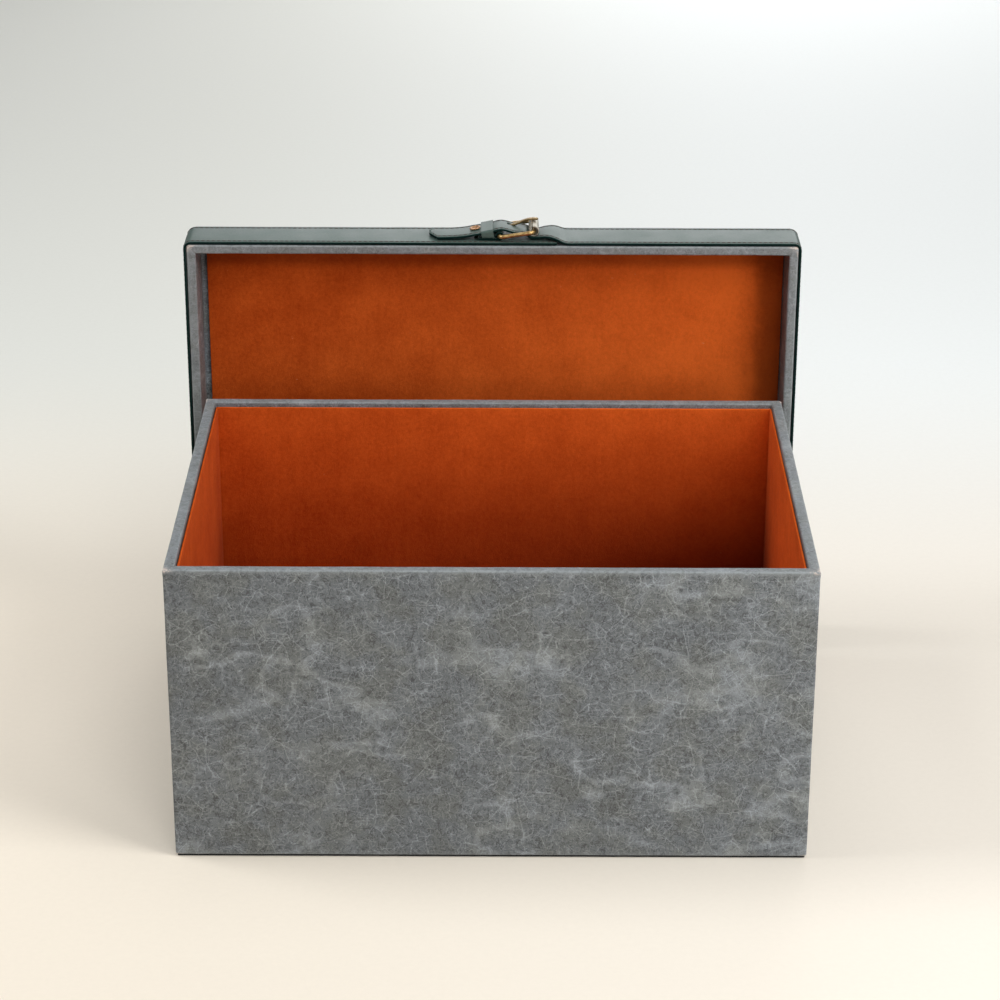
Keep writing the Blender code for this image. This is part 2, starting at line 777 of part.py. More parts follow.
def build_loop(name, stations, lid):
    """A closed band round the strap: at each station an outer and an inner rectangle."""
    bm = bmesh.new()
    outer_rings = []
    inner_rings = []
    for x, bottom, top in stations:
        outer = loop_ring(bm, x, bottom, top + KEEPER, KEEPER_HALF + KEEPER, KEEPER_ROUND)
        inner = loop_ring(bm, x, bottom + KEEPER, top, KEEPER_HALF, KEEPER_INNER_ROUND)
        outer_rings.append(outer)
        inner_rings.append(inner)
    for rings in (outer_rings, inner_rings):
        for near, far in zip(rings, rings[1:]):
            join_rings(bm, near, far)
    join_rings(bm, outer_rings[0], inner_rings[0])
    join_rings(bm, outer_rings[-1], inner_rings[-1])
    bmesh.ops.recalc_face_normals(bm, faces=bm.faces)
    mesh = bpy.data.meshes.new(name)
    bm.to_mesh(mesh)
    bm.free()
    place(name, mesh, GREEN_LEATHER, lid)


def loop_ring(bm, x, bottom, top, half, radius):
    middle = (bottom + top) / 2
    half_height = (top - bottom) / 2
    ring = []
    for across, height in rounded_rectangle(half, half_height, radius, ARC_STEPS):
        lean = KEEPER_LEAN * (half_height - height)
        ring.append(bm.verts.new((x + lean, belt_y(middle + height), BUCKLE_ACROSS + across)))
    return ring


def join_rings(bm, near, far):
    for index in range(len(near)):
        following = (index + 1) % len(near)
        bm.faces.new((near[index], near[following], far[following], far[index]))


def build_buckle_parent(lid):
    """Sits on the heel bar's axis, with its X towards the roller."""
    parent = bpy.data.objects.new("buckle_axis", None)
    PARTS.objects.link(parent)
    parent.parent = lid
    parent.location = (HEEL_X, belt_y(HEEL_HEIGHT), BUCKLE_ACROSS)
    rise = ROLLER_HEIGHT - HEEL_HEIGHT
    parent.rotation_euler = (0.0, 0.0, -math.atan2(rise, ROLLER_X - HEEL_X))
    return parent


def build_frame(axis):
    length = math.hypot(ROLLER_X - HEEL_X, ROLLER_HEIGHT - HEEL_HEIGHT)
    outline = rounded_rectangle(length / 2, FRAME_HALF_ACROSS, FRAME_BEND, FRAME_BEND_STEPS)
    curve = bpy.data.curves.new("buckle_frame", "CURVE")
    curve.dimensions = "3D"
    curve.bevel_depth = WIRE
    curve.bevel_resolution = 3
    spline = curve.splines.new("POLY")
    spline.points.add(len(outline) - 1)
    for point, (along, across) in zip(spline.points, outline):
        point.co = (along + length / 2, 0.0, across, 1.0)
    spline.use_cyclic_u = True
    frame = solid_from_curve("buckle_frame", curve, AGED_BRASS, axis)
    frame.data.shade_smooth()


def build_roller(axis):
    length = math.hypot(ROLLER_X - HEEL_X, ROLLER_HEIGHT - HEEL_HEIGHT)
    half = ROLLER_LENGTH / 2
    edge = ROLLER_EDGE
    profile = [
        (ROLLER_OUTER, edge - half),
        (ROLLER_OUTER, half - edge),
        (ROLLER_OUTER - edge, half),
        (ROLLER_INNER, half),
        (ROLLER_INNER, -half),
        (ROLLER_OUTER - edge, -half),
        (ROLLER_OUTER, edge - half),
    ]
    roller = turned("buckle_roller", profile, AGED_BRASS, axis)
    roller.location = (length, 0.0, 0.0)


def prong_top_height():
    """Height of the prong's middle where it lies over the roller."""
    return ROLLER_HEIGHT + ROLLER_OUTER + SMALL_GAP + PRONG_THICKNESS / 2


def build_prong(lid):
    """An eye round the heel bar, a rising shank and a flat end over the roller."""
    eye_inner = WIRE + PRONG_EYE_CLEARANCE
    eye_outer = eye_inner + PRONG_EYE
    half = PRONG_THICKNESS / 2
    top = prong_top_height() - HEEL_HEIGHT
    knee = Vector((PRONG_KNEE_X - HEEL_X, top))
    end = Vector((PRONG_END_X - HEEL_X, top + PRONG_END_RISE))
    slope = knee.normalized()
    normal = Vector((-slope.y, slope.x))
    tangent = math.atan2(knee.y, knee.x)
    upper_join = math.asin(half / eye_outer)
    eye = arc((0.0, 0.0), eye_outer, tangent + upper_join, tangent - upper_join + 2 * math.pi, EYE_STEPS)
    outline = list(eye)
    flat = half - PRONG_END_ROUND
    outline += [tuple(knee - normal * half), (end.x - PRONG_END_ROUND, end.y - half)]
    outline += [(end.x, end.y - flat), (end.x, end.y + flat)]
    outline += [(end.x - PRONG_END_ROUND, end.y + half), tuple(knee + normal * half)]
    prong = outline_solid("buckle_prong", outline, PRONG_WIDTH, AGED_BRASS, lid)
    prong.rotation_euler = (math.pi, 0.0, 0.0)
    prong.location = (HEEL_X, belt_y(HEEL_HEIGHT), BUCKLE_ACROSS + PRONG_SHIFT)
    bore = drum(
        "prong_eye_cutter", eye_inner, 2 * PRONG_WIDTH, AGED_BRASS, lid, 24, CUTTERS
    )
    bore.location = prong.location
    cut(prong, bore, "eye")


# ---------------------------------------------------------------- assembly
def build():
    build_base()
    build_box_walls()
    build_box_cover()
    build_box_lining()
    lid = build_lid_parent()
    build_lid_boards(lid)
    build_lid_cover(lid)
    build_lid_lining(lid)
    build_belt(lid)
    build_rivet(lid)
    build_chape(lid)
    build_keeper(lid)
    axis = build_buckle_parent(lid)
    build_frame(axis)
    build_roller(axis)
    build_prong(lid)


build()
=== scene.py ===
"""Looks of the archival box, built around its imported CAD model.

The box is covered in creased grey leather and lined with orange suede. Its lid stands
behind it, with a stitched green belt round the skirt and a worn brass buckle on top.
Metres, +Z up, in the CAD model's frame.
"""

import json
from math import atan, atan2, copysign, cos, exp, hypot, pi, radians, sin, sqrt, tan

import bmesh
import bpy
from mathutils import Matrix, Vector, noise


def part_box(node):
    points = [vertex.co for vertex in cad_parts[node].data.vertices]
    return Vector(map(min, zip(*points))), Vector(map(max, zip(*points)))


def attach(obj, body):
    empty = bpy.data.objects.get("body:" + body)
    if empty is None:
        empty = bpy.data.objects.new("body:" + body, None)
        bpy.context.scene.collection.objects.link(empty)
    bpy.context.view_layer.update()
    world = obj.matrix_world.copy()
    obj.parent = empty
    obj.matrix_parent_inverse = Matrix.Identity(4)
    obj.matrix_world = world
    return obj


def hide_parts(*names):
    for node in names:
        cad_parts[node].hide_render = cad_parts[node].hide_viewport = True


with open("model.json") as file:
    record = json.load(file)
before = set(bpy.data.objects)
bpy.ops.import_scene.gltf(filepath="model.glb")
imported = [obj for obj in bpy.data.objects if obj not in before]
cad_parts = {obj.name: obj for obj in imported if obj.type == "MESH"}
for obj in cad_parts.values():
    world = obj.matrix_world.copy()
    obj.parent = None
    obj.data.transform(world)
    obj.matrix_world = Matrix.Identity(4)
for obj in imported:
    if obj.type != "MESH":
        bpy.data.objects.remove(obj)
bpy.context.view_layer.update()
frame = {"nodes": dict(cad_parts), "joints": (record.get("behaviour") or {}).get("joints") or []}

# ---- places, from the frame
BOX_LOW, BOX_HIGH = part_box("outer_cover")
LID_LOW, LID_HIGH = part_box("lid_cover")
JOINTS = {joint["name"]: joint for joint in frame["joints"]}
HEEL = Vector(JOINTS["prong_lift"]["pos_m"])
ROLLER = Vector(JOINTS["roller_spin"]["pos_m"])
LID_CENTRE_X = (LID_LOW.x + LID_HIGH.x) / 2
LID_CENTRE_Z = (LID_LOW.z + LID_HIGH.z) / 2
LID_HALF_X = (LID_HIGH.x - LID_LOW.x) / 2
LID_HALF_Y = (LID_HIGH.z - LID_LOW.z) / 2
LID_DEPTH = LID_HIGH.y - LID_LOW.y
LID_STOOD = Matrix.Translation((LID_CENTRE_X, LID_LOW.y, LID_CENTRE_Z))
LID_PLACE = LID_STOOD @ Matrix.Rotation(-pi / 2, 4, "X")

# ---- leather and lining
LEATHER = 0.0006  # thickness of the grey leather
BOX_WALL = 0.0061  # a wall with its leather on both sides
LID_WALL = 0.0055
RIM_ROUND = 0.0011  # rounding of the rim, seen along the wall
BOX_CORNER = 0.0013  # rounding of the vertical corners
LID_CORNER = 0.0028
INNER_CORNER = 0.0007
TURN_IN = 0.0180  # leather folded down inside the box's rim
TURN_UNDER = 0.0140
LID_TURN_IN = 0.0100
LID_FLANGE_DEPTH = 0.0333  # from the lid's rim to the leather under its lining
LEATHER_STEP = 0.0020  # mesh spacing on flat leather
RIM_STEP = 0.0008
CORNER_STEPS = 8
ARC_STEPS = 6
SWELL = 0.00009  # how far the leather rises and falls over its board
SWELL_SIZE = 0.030
FINE_SWELL = 0.5  # the finer swell's height and size, as shares of the swell's
FINE_SWELL_SIZE = 0.3
FINE_SEED, BELT_SEED, SUEDE_SEED = 5.0, 3.0, 9.0
EAR = 0.0006  # how far the folded leather stands out at a rim corner
EAR_BELOW = 0.0017
EAR_SIZE = 1.3 * RIM_ROUND
MITRE_DEPTH = 0.00022
MITRE_WIDTH = 0.0003
MITRE_REACH = 1.5 * RIM_ROUND
CORNER_REACH = 2.5  # walls' thicknesses round a corner that the folds reach
CORNER_WEAR = 0.0060  # reach of the scuffed patch at a rim corner
SUEDE_ROUND = 0.00055
SUEDE_STEP = 0.0030
SUEDE_SWELL = 0.00006
CLOTH_ROUND = 0.00045
CLOTH_STEP = 0.006
MERGE = 0.000002

# ---- belt
BELT_WIDTH = 0.0300
BELT_THICKNESS = 0.0019
BELT_INSET = 0.0004  # from the lid's rim to the belt's edge
BELT_GAP = 0.0003  # between the lid's leather and the belt
SMALL_GAP = 0.00015
BELT_STANDS = BELT_GAP + BELT_THICKNESS
BELT_EDGE_ROUND = 0.00055
BELT_SWELL = 0.00010
STITCH_INSET = 0.0023
STITCH_PITCH = 0.0032
STITCH_LENGTH = 0.0026
THREAD = 0.00031  # radius of the thread
GROOVE = 0.00030  # depth and width of the groove the stitches lie in
GROOVE_WIDTH = 0.00042
FOLD = 0.00009  # the raised line between the stitches and the edge
FOLD_INSET = 0.0013
FOLD_WIDTH = 0.00035

# ---- buckle
# Along the belt, X is measured from the lid's centre. Heights are measured from the
# top surface of the belt that the buckle lies on.
BUCKLE_ACROSS = HEEL.y - LID_LOW.y
HEEL_X = HEEL.x - LID_CENTRE_X
ROLLER_X = ROLLER.x - LID_CENTRE_X
BELT_TOP_Z = LID_HIGH.z + BELT_STANDS
HEEL_HEIGHT = HEEL.z - BELT_TOP_Z
ROLLER_HEIGHT = ROLLER.z - BELT_TOP_Z
STRAP_HALF = 0.0096
ROLLER_LIFT = 0.0007  # the strap's underside above the belt under the roller
STRAP_TIP_X = -0.0388
TIP_FRONT_CUT = (0.0052, 0.0088)  # cut off the tip's front corner: along, across
TIP_BACK_CUT = (0.0028, 0.0042)
TIP_HEIGHT = 0.0013
UNDER_END_X = 0.0393
TAPER_WIDE_X = 0.0450
TAPER_NARROW_X = 0.0270
WIRE = 0.0013
FRAME_HALF_ACROSS = 0.0119
FRAME_BEND = 0.0026
CHAPE = 0.0012
CHAPE_TAIL_X = -0.0084
CHAPE_WRAP_END = radians(120)
CHAPE_UPPER = [(0.0020, 0.0029, 0.0009), (-0.0062, 0.0025, 0.0006)]  # X, height, thickness
ROLLER_OUTER = 0.0031
ROLLER_INNER = 0.0027
ROLLER_LENGTH = 0.0192
PRONG_WIDTH = 0.0026
PRONG_THICKNESS = 0.0014
PRONG_SHIFT = 0.0030
PRONG_KNEE_X = 0.0222
PRONG_END_X = 0.0280
PRONG_SLOT_CLEARANCE = 0.0004
PRONG_SWING = radians(10)
KEEPER_X = -0.0035
KEEPER_LENGTH = 0.0073
KEEPER = 0.0005
KEEPER_LEAN = 0.22  # its lower side lies this much to the right for each unit down
KEEPER_ROUND = 0.0009
RIVET_X = -0.0105
RIVET_HEAD = 0.0034
RIVET_SHANK = 0.0012
RIVET_RISE = 0.0010
ROUTE_STEPS = 4  # mesh steps between two places of the strap's route
PAINTED_SHARE = 0.06  # share of the rounded edge left unpainted at its top
MARGIN_STEPS = 12
FACE_STEPS = 12
CROWN = 0.00025  # how much lower the belt's face is at its edges
RIVET_DENT = [(0.62, 0.95), (0.50, 0.70), (0.38, 0.35), (0.20, 0.28), (0.0, 0.34)]
RIBBON_STEPS = 4
CHAPE_ROUND = 0.00035
CHAPE_SLOT = (0.0034, 0.0078)  # left and right of the heel bar
CHAPE_SLOT_TOP = 0.0090
KEEPER_EDGE_ROUND = 0.0002
KEEPER_SLACK = 0.0003
KEEPER_SIDE_STEPS = 24
WIRE_STEPS = 24
WIRE_SIDES = 20
WIRE_WEAR = 0.03  # share by which the wire's radius wanders
TURNED_SIDES = 40
ROLLER_END_ROUND = 0.00016
ROLLER_STEPS = 56
SEAM = 0.0006  # the gap where the rolled tube's edges meet
SEAM_ANGLE = radians(112)
PRONG_EYE = 0.0006
PRONG_EYE_CLEARANCE = 0.00015
PRONG_RISE = (0.5, 0.9)  # places on the straight rise, as shares of the way to the knee
PRONG_END_RISE = 0.0001
PRONG_ROUND = 0.00045
PRONG_BLUNT = 0.0007
PRONG_TIP = PRONG_BLUNT / 4
EYE_START = radians(25)
EYE_END = radians(345)
EYE_LEAVE = 0.0024
THREAD_SIDES = 6
# Share along a stitch, share of its thickness, share of it sunk in the leather.
STITCH_SHAPE = [
    (-1.0, 0.35, 0.9), (-0.8, 0.8, 0.35), (-0.35, 1.0, 0.0),
    (0.35, 1.0, 0.0), (0.8, 0.8, 0.35), (1.0, 0.35, 0.9),
]

# The strap's middle surface through the buckle: place along the belt and height.
STRAP_ROUTE = [
    (0.0520, -BELT_THICKNESS / 2), (0.0462, -0.00093), (0.0440, -0.0006), (0.0418, 0.0002),
    (0.0397, 0.0012), (0.0362, 0.0022), (0.0324, 0.0024), (0.0290, 0.0019),
    (0.0252, ROLLER_LIFT + BELT_THICKNESS / 2), (0.0237, 0.0018), (0.0225, 0.0024), (0.0212, 0.0034),
    (0.0192, 0.0041), (0.0160, 0.0045), (0.0130, 0.0049), (0.0102, 0.0057),
    (0.0077, 0.0064), (0.0053, 0.0067), (0.0030, 0.0064), (0.0004, 0.0056),
    (KEEPER_X, 0.0047), (-0.0073, 0.0040), (-0.0113, 0.0033), (-0.0174, 0.0022),
    (-0.0235, 0.00165), (-0.0320, 0.0014), (STRAP_TIP_X, TIP_HEIGHT),
]

# ---- camera
CAMERA_PLACE = (0.0066, -1.5520, 0.8418)
CAMERA_PITCH = 0.4112
CAMERA_YAW = -0.0015
CAMERA_ROLL = 0.0029
CAMERA_LENS = 104.92
CAMERA_SENSOR = 36.0
CAMERA_REACH = 20.0


# ---- colours
def tint(red, green, blue):
    return (red, green, blue, 1.0)


LEATHER_DARK_COOL = tint(0.061, 0.066, 0.072)
LEATHER_PALE_COOL = tint(0.322, 0.350, 0.375)
LEATHER_DARK_WARM = tint(0.061, 0.064, 0.064)
LEATHER_PALE_WARM = tint(0.304, 0.324, 0.324)
# worn leather's colour, and the painted highlight laid along the rim tops
LEATHER_WORN_AND_HIGHLIGHT = tint(0.262, 0.283, 0.290)
LEATHER_BARE = tint(0.560, 0.470, 0.420)
SUEDE_DARK = tint(0.370, 0.040, 0.003)
SUEDE_PALE = tint(0.800, 0.142, 0.020)
SUEDE_SCUFF = tint(0.750, 0.380, 0.200)
# colour of the painted shade laid into the suede where the walls and the skirt shadow it
SUEDE_SHADE = tint(0.060, 0.002, 0.001)
SUEDE_SHEEN = tint(1.0, 0.45, 0.30)
BELT_DARK = tint(0.022, 0.042, 0.035)
BELT_PALE = tint(0.095, 0.140, 0.122)
BELT_EDGE = tint(0.001, 0.009, 0.008)
BELT_EDGE_PALE = tint(0.004, 0.020, 0.018)
TABLE_LEFT = tint(0.88, 0.790, 0.67)
TABLE_RIGHT = tint(0.84, 0.775, 0.69)
# the wall's right colour is paler: painted light, brighter where the light falls
WALL_LEFT = tint(0.80, 0.80, 0.75)
WALL_RIGHT = tint(0.92, 0.94, 0.93)
TABLE_SPECKLE = tint(0.45, 0.40, 0.34)

# Each metal's dull and bright colours, roughness, size of its patina's noise, and how
# its scratches are drawn out.
ALONG_BELT = (0.15, 1.0, 1.0)
ACROSS_BELT = (1.0, 0.12, 1.0)
METALS = {
    "aged_brass_look": (tint(0.24, 0.13, 0.042), tint(0.76, 0.54, 0.24), 0.30, 420.0, ALONG_BELT),
    "bare_roller_look": (tint(0.28, 0.25, 0.20), tint(0.70, 0.66, 0.56), 0.42, 300.0, ACROSS_BELT),
    "copper_rivet_look": (tint(0.18, 0.070, 0.030), tint(0.74, 0.44, 0.23), 0.38, 900.0, (1.0, 1.0, 1.0)),
    "tongue_look": (tint(0.13, 0.088, 0.040), tint(0.44, 0.32, 0.165), 0.32, 500.0, ALONG_BELT),
}

# ---- painted shade and light, worn edges, lights
WEAR_IN = RIM_ROUND / 3  # the most worn line lies this far in from both sides of an edge
WEAR_REACH = 0.0010  # how far the worn band spreads from an edge
INNER_WEAR = 0.6
# painted highlight laid along the whole rim top, where light from above falls
RIM_PAINTED_HIGHLIGHT = 0.45
FOOT_WEAR = 0.5
LID_MIDDLE = 0.0010  # half width left open in the middle of the lid's top, then capped
SLAB_ROUND_LIMIT = 0.98
# Painted shade on the box's suede: how low, how deep and how far left it reaches.
PAINTED_SHADE_LOW = 0.045  # up to this height the painted shade is at its darkest
PAINTED_SHADE_DEPTH = 0.95
PAINTED_SHADE_LEFT = 0.55  # share of the painted shade that is left at the box's left end
LID_BAND = 0.015  # width of the painted shadow band at the lid suede's right, under the skirt's right wall
LID_BAND_WANDER = 0.0020
LID_BAND_SOFT = 0.0055
# how dark both painted shadow bands get
LID_BAND_DEPTH = 0.50
BOX_SUEDE_PAINTED_LIGHT = 0.17  # painted light: how much paler the suede gets towards the right, where the light falls
# painted light on the lid's suede, paler towards the right
LID_SUEDE_PAINTED_LIGHT = 0.36
BOX_SUEDE_SHEEN = 0.06
LID_SUEDE_SHEEN = 0.16
LID_TOP_BAND = 0.0220  # painted shadow under the skirt's top: it darkens between these distances from the top edge
LID_TOP_BAND_END = 0.0130
HORIZON = 0.38
ZENITH = 0.05
SKY_COLOUR = tint(0.98, 0.99, 1.0)
LIT_MIDDLE = Vector((0.0, 0.0, 0.10))
# Name, place, size, power and colour of each soft light.
LIGHTS = [
    ("left_softbox", (-1.2, 0.05, 1.6), 0.9, 15.0, (0.97, 0.99, 1.0)),
    ("right_softbox", (1.2, -0.6, 1.5), 0.9, 16.5, (0.99, 1.0, 0.99)),
    ("front_softbox", (0.3, -1.5, 1.6), 0.9, 9.5, (0.98, 1.0, 1.0)),
    ("overhead", (0.2, 0.1, 2.2), 1.8, 10.0, (1.0, 0.99, 0.98)),
    ("bright_wall", (0.3, 2.2, 0.9), 1.6, 14.0, (0.98, 0.99, 1.0)),
    ("window", (0.80, -0.75, 0.28), 0.4, 2.9, (0.99, 1.0, 0.99)),
]
FLOOR_REACH = 6.0
FLOOR_NEAR = 0.15  # the table's colour gives way to the wall's between these in Y
FLOOR_FAR = 0.70
FLOOR_SIDE = 0.35


# ---- meshes
def add_object(name, data):
    item = bpy.data.objects.new(name, data)
    bpy.context.scene.collection.objects.link(item)
    return item


def add_mesh(name, bm, *materials):
    mesh = bpy.data.meshes.new(name)
    bm.to_mesh(mesh)
    bm.free()
    for material in materials:
        mesh.materials.append(material)
    return add_object(name, mesh)


def new_piece(name, bm, materials, body, slot, replaced):
    """Makes the piece from its bmesh, hangs it on its body and hides the CAD parts it replaces. Faces
    marked 1 take the second material."""
    bmesh.ops.recalc_face_normals(bm, faces=bm.faces)
    piece = add_mesh(name, bm, *materials)
    piece.data.shade_smooth()
    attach(piece, body)
    if replaced:
        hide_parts(*replaced)
    return piece


def wave(point, size, seed=0.0):
    """Smooth noise from -1 to 1 whose bumps are about that size."""
    return noise.fractal(Vector(point) / size + Vector((seed, seed, seed)), 1.0, 2.0, 3)


def bell(distance, width):
    return exp(-((distance / width) ** 2))


def run(start, end, step):
    """Points from start up to, not including, end, at about that spacing."""
    start = Vector(start)
    end = Vector(end)
    count = max(1, round((end - start).length / step))
    return [tuple(start.lerp(end, index / count)) for index in range(count)]


def arc(centre, radius, start, end, steps=ARC_STEPS):
    points = []
    for step in range(steps + 1):
        angle = start + (end - start) * step / steps
        points.append((centre[0] + radius * cos(angle), centre[1] + radius * sin(angle)))
    return points


def rounded_outline(half_x, half_y, radius, steps_x, steps_y, corner_steps=CORNER_STEPS):
    """A rectangle with round corners, anticlockwise, with points along its sides."""
    arcs = []
    for quarter, (side_x, side_y) in enumerate([(1, 1), (-1, 1), (-1, -1), (1, -1)]):
        centre = (side_x * (half_x - radius), side_y * (half_y - radius))
        start = quarter * pi / 2
        arcs.append(arc(centre, radius, start, start + pi / 2, corner_steps))
    outline = []
    for points, following, steps in zip(arcs, arcs[1:] + arcs[:1], (steps_x, steps_y) * 2):
        outline += points
        last = Vector(points[-1])
        outline += [tuple(last.lerp(Vector(following[0]), step / steps)) for step in range(1, steps)]
    return outline


def circle(sides, radius=1.0):
    angles = [2 * pi * side / sides for side in range(sides)]
    return [(radius * cos(angle), radius * sin(angle)) for angle in angles]


def join_rings(bm, rings, painted=None, looped=False):
    """Joins each ring to the next with faces, marked 1 where both points of the ring
    are painted. A looped row of rings also joins its last to its first."""
    for near, far in zip(rings, rings[1:] + rings[:looped]):
        for index in range(len(near)):
            following = (index + 1) % len(near)
            face = bm.faces.new((near[index], near[following], far[following], far[index]))
            if painted and painted[index] and painted[following]:
                face.material_index = 1


def cap_ends(bm, rings, mark=0):
    for ring in (rings[0], rings[-1]):
        bm.faces.new(ring).material_index = mark


def skin(point_rings, painted=None, looped=False, mark=0):
    """A mesh over rings of points, given as the lid lies on the box, stood up with the
    lid. Its ends are capped unless it is looped."""
    bm = bmesh.new()
    rings = [[bm.verts.new(point) for point in ring] for ring in point_rings]
    join_rings(bm, rings, painted, looped)
    if not looped:
        cap_ends(bm, rings, mark)
    return stand(bm)


def shift_verts(bm, moved):
    """Moves every point at once, to moved(point, normal)."""
    bm.normal_update()
    places = [moved(vert.co, vert.normal) for vert in bm.verts]
    for vert, place in zip(bm.verts, places):
        vert.co = place


def stand(bm, place=LID_PLACE):
    """Puts a mesh made as the lid lies on the box where the lid stands."""
    bmesh.ops.transform(bm, matrix=place, verts=bm.verts)
    return bm


# ---- leather shells
def leather_point(x, y, z, half_x, half_y, rim_z, inward, wall):
    """Moves a point of a leather shell: a sunk mitre line across each rim corner, and a
    small ear where the fold stands out below it. inward is 1 where the tray's inside
    lies below the rim and -1 where it lies above."""
    corner = Vector((copysign(half_x, x), copysign(half_y, y)))
    from_corner = Vector((x, y)) - corner
    out = Vector((copysign(1.0, x), copysign(1.0, y))).normalized()
    across = abs(from_corner.dot(Vector((-out.y, out.x))))
    below = (rim_z - z) * inward
    point = Vector((x, y, z))
    if max(abs(from_corner.x), abs(from_corner.y)) < CORNER_REACH * wall:
        near_rim = bell(max(below, 0.0), MITRE_REACH)
        point.z -= inward * MITRE_DEPTH * bell(across, MITRE_WIDTH) * near_rim
        if from_corner.dot(out) > -wall / 3:
            ear = EAR * bell(across, RIM_ROUND) * bell(below - EAR_BELOW, EAR_SIZE)
            point += Vector((out.x, out.y, 0.0)) * ear
    return point


def swell(point, normal):
    fine = SWELL * FINE_SWELL * wave(point, FINE_SWELL_SIZE * SWELL_SIZE, FINE_SEED)
    return point + normal * (SWELL * wave(point, SWELL_SIZE) + fine)


def suede_swell(point, normal):
    return point + normal * (SUEDE_SWELL * (wave(point, SWELL_SIZE, SUEDE_SEED) - 1.0))


def leather_shell(name, half_x, half_y, profile, place, inward, wall, closed, **piece):
    """A leather skin whose profile lists (distance in, height, corner radius, amount of worn colour and
    painted highlight).
    """
    steps_x = round(2 * half_x / LEATHER_STEP)
    steps_y = round(2 * half_y / LEATHER_STEP)
    bm = bmesh.new()
    wear_and_highlight = bm.verts.layers.float.new("wear_and_highlight")
    scuff = bm.verts.layers.float.new("scuff")
    rings = []
    rim_z = max(p[1] for p in profile) if inward > 0 else min(p[1] for p in profile)
    for inset, height, radius, amount in profile:
        outline = rounded_outline(half_x - inset, half_y - inset, radius, steps_x, steps_y)
        ring = []
        for x, y in outline:
            moved = leather_point(x, y, height, half_x, half_y, rim_z, inward, wall)
            vert = bm.verts.new(moved)
            corner = hypot(half_x - abs(x), half_y - abs(y))
            vert[wear_and_highlight] = amount
            vert[scuff] = amount * bell(corner, CORNER_WEAR)
            ring.append(vert)
        rings.append(ring)
    join_rings(bm, rings)
    if closed:
        bm.faces.new(rings[-1])
    shift_verts(bm, swell)
    shell = new_piece(name, stand(bm, place), **piece)
    thickness = shell.modifiers.new("leather", "SOLIDIFY")
    thickness.thickness = LEATHER
    thickness.offset = -1.0


def box_profile():
    """The box's leather, from under the base, up the wall, over the rim and inside."""
    top = BOX_HIGH.z
    bottom = BOX_LOW.z
    rim = RIM_ROUND
    points = run((TURN_UNDER, bottom), (rim, bottom), 3 * LEATHER_STEP)
    points += arc((rim, bottom + rim), rim, 1.5 * pi, pi)
    points += run((0.0, bottom + rim), (0.0, top - rim), LEATHER_STEP)[1:]
    points += arc((rim, top - rim), rim, pi, pi / 2)
    points += run((rim, top), (BOX_WALL - rim, top), RIM_STEP)[1:]
    points += arc((BOX_WALL - rim, top - rim), rim, pi / 2, 0.0)
    points += run((BOX_WALL, top - rim), (BOX_WALL, top - TURN_IN), LEATHER_STEP)[1:]
    points.append((BOX_WALL, top - TURN_IN))
    profile = []
    for inset, height in points:
        inside = inset > BOX_WALL / 2 and height > bottom + rim
        radius = INNER_CORNER if inside else BOX_CORNER
        rim_wear_and_highlight = edge_wear_and_highlight(inset, top - height, BOX_WALL)
        foot = FOOT_WEAR * worn(inset, height - bottom)
        profile.append((inset, height, radius, max(rim_wear_and_highlight, foot)))
    return profile


def lid_profile():
    """The lid's leather, from under the lining, along the skirt's inside, round its
    rim, up the outside and across the top panel, as the lid lies on the box."""
    rim = RIM_ROUND
    flange = (LID_WALL, LID_FLANGE_DEPTH)
    points = run((LID_WALL + LID_TURN_IN, LID_FLANGE_DEPTH), flange, LEATHER_STEP)
    points += run(flange, (LID_WALL, rim), LEATHER_STEP)
    points += arc((LID_WALL - rim, rim), rim, 0.0, -pi / 2)
    points += run((LID_WALL - rim, 0.0), (rim, 0.0), RIM_STEP)[1:]
    points += arc((rim, rim), rim, 1.5 * pi, pi)
    points += run((0.0, rim), (0.0, LID_DEPTH - rim), LEATHER_STEP)[1:]
    points += arc((rim, LID_DEPTH - rim), rim, pi, pi / 2)
    points += run((rim, LID_DEPTH), (LID_HALF_Y - LID_MIDDLE, LID_DEPTH), 1.5 * LEATHER_STEP)[1:]
    profile = []
    for inset, height in points:
        inside = inset > LID_WALL / 2 and height < LID_DEPTH - rim
        rim_wear_and_highlight = edge_wear_and_highlight(inset, height, LID_WALL)
        top_wear = worn(inset, LID_DEPTH - height)
        radius = INNER_CORNER if inside else max(LID_CORNER - inset / 3, INNER_CORNER / 2)
        profile.append((inset, height, radius, max(rim_wear_and_highlight, top_wear)))
    return profile


def edge_wear_and_highlight(inset, below, wall):
    """How worn the leather of a rim is, most at its outer edge and least between its edges, with a
    painted highlight laid along the whole rim top.
    """
    flat = RIM_PAINTED_HIGHLIGHT * bell(below, RIM_ROUND)
    return max(worn(inset, below), INNER_WEAR * worn(wall - inset, below), flat)


def worn(inset, below):
    """How worn the leather is that far in and below an edge."""
    return bell(hypot(inset - WEAR_IN, below - WEAR_IN), WEAR_REACH)


def build_leather(materials):
    half_x = (BOX_HIGH.x - BOX_LOW.x) / 2
    half_y = (BOX_HIGH.y - BOX_LOW.y) / 2
    leather_shell(
        "box_leather", half_x, half_y, box_profile(), Matrix.Identity(4), 1, BOX_WALL, False,
        materials=materials, body="box", slot="grey_leather", replaced=["outer_cover"],
    )
    leather_shell(
        "lid_leather", LID_HALF_X, LID_HALF_Y, lid_profile(), LID_PLACE, -1, LID_WALL, True,
        materials=materials, body="lid", slot="grey_leather", replaced=["lid_cover"],
    )


# ---- suede panels
def slab_lines(half, round_edge, step):
    """Grid lines across a slab: close together in the rounded edges."""
    angles = [pi / 4 * share for share in (1.0, 0.66, 0.33, 0.0)]
    edge = [half - round_edge * (1 - tan(angle)) for angle in angles]
    inner = half - round_edge
    count = max(1, round(2 * inner / step))
    flat = [inner - 2 * inner * index / count for index in range(1, count)]
    return edge + flat + [-value for value in reversed(edge)]


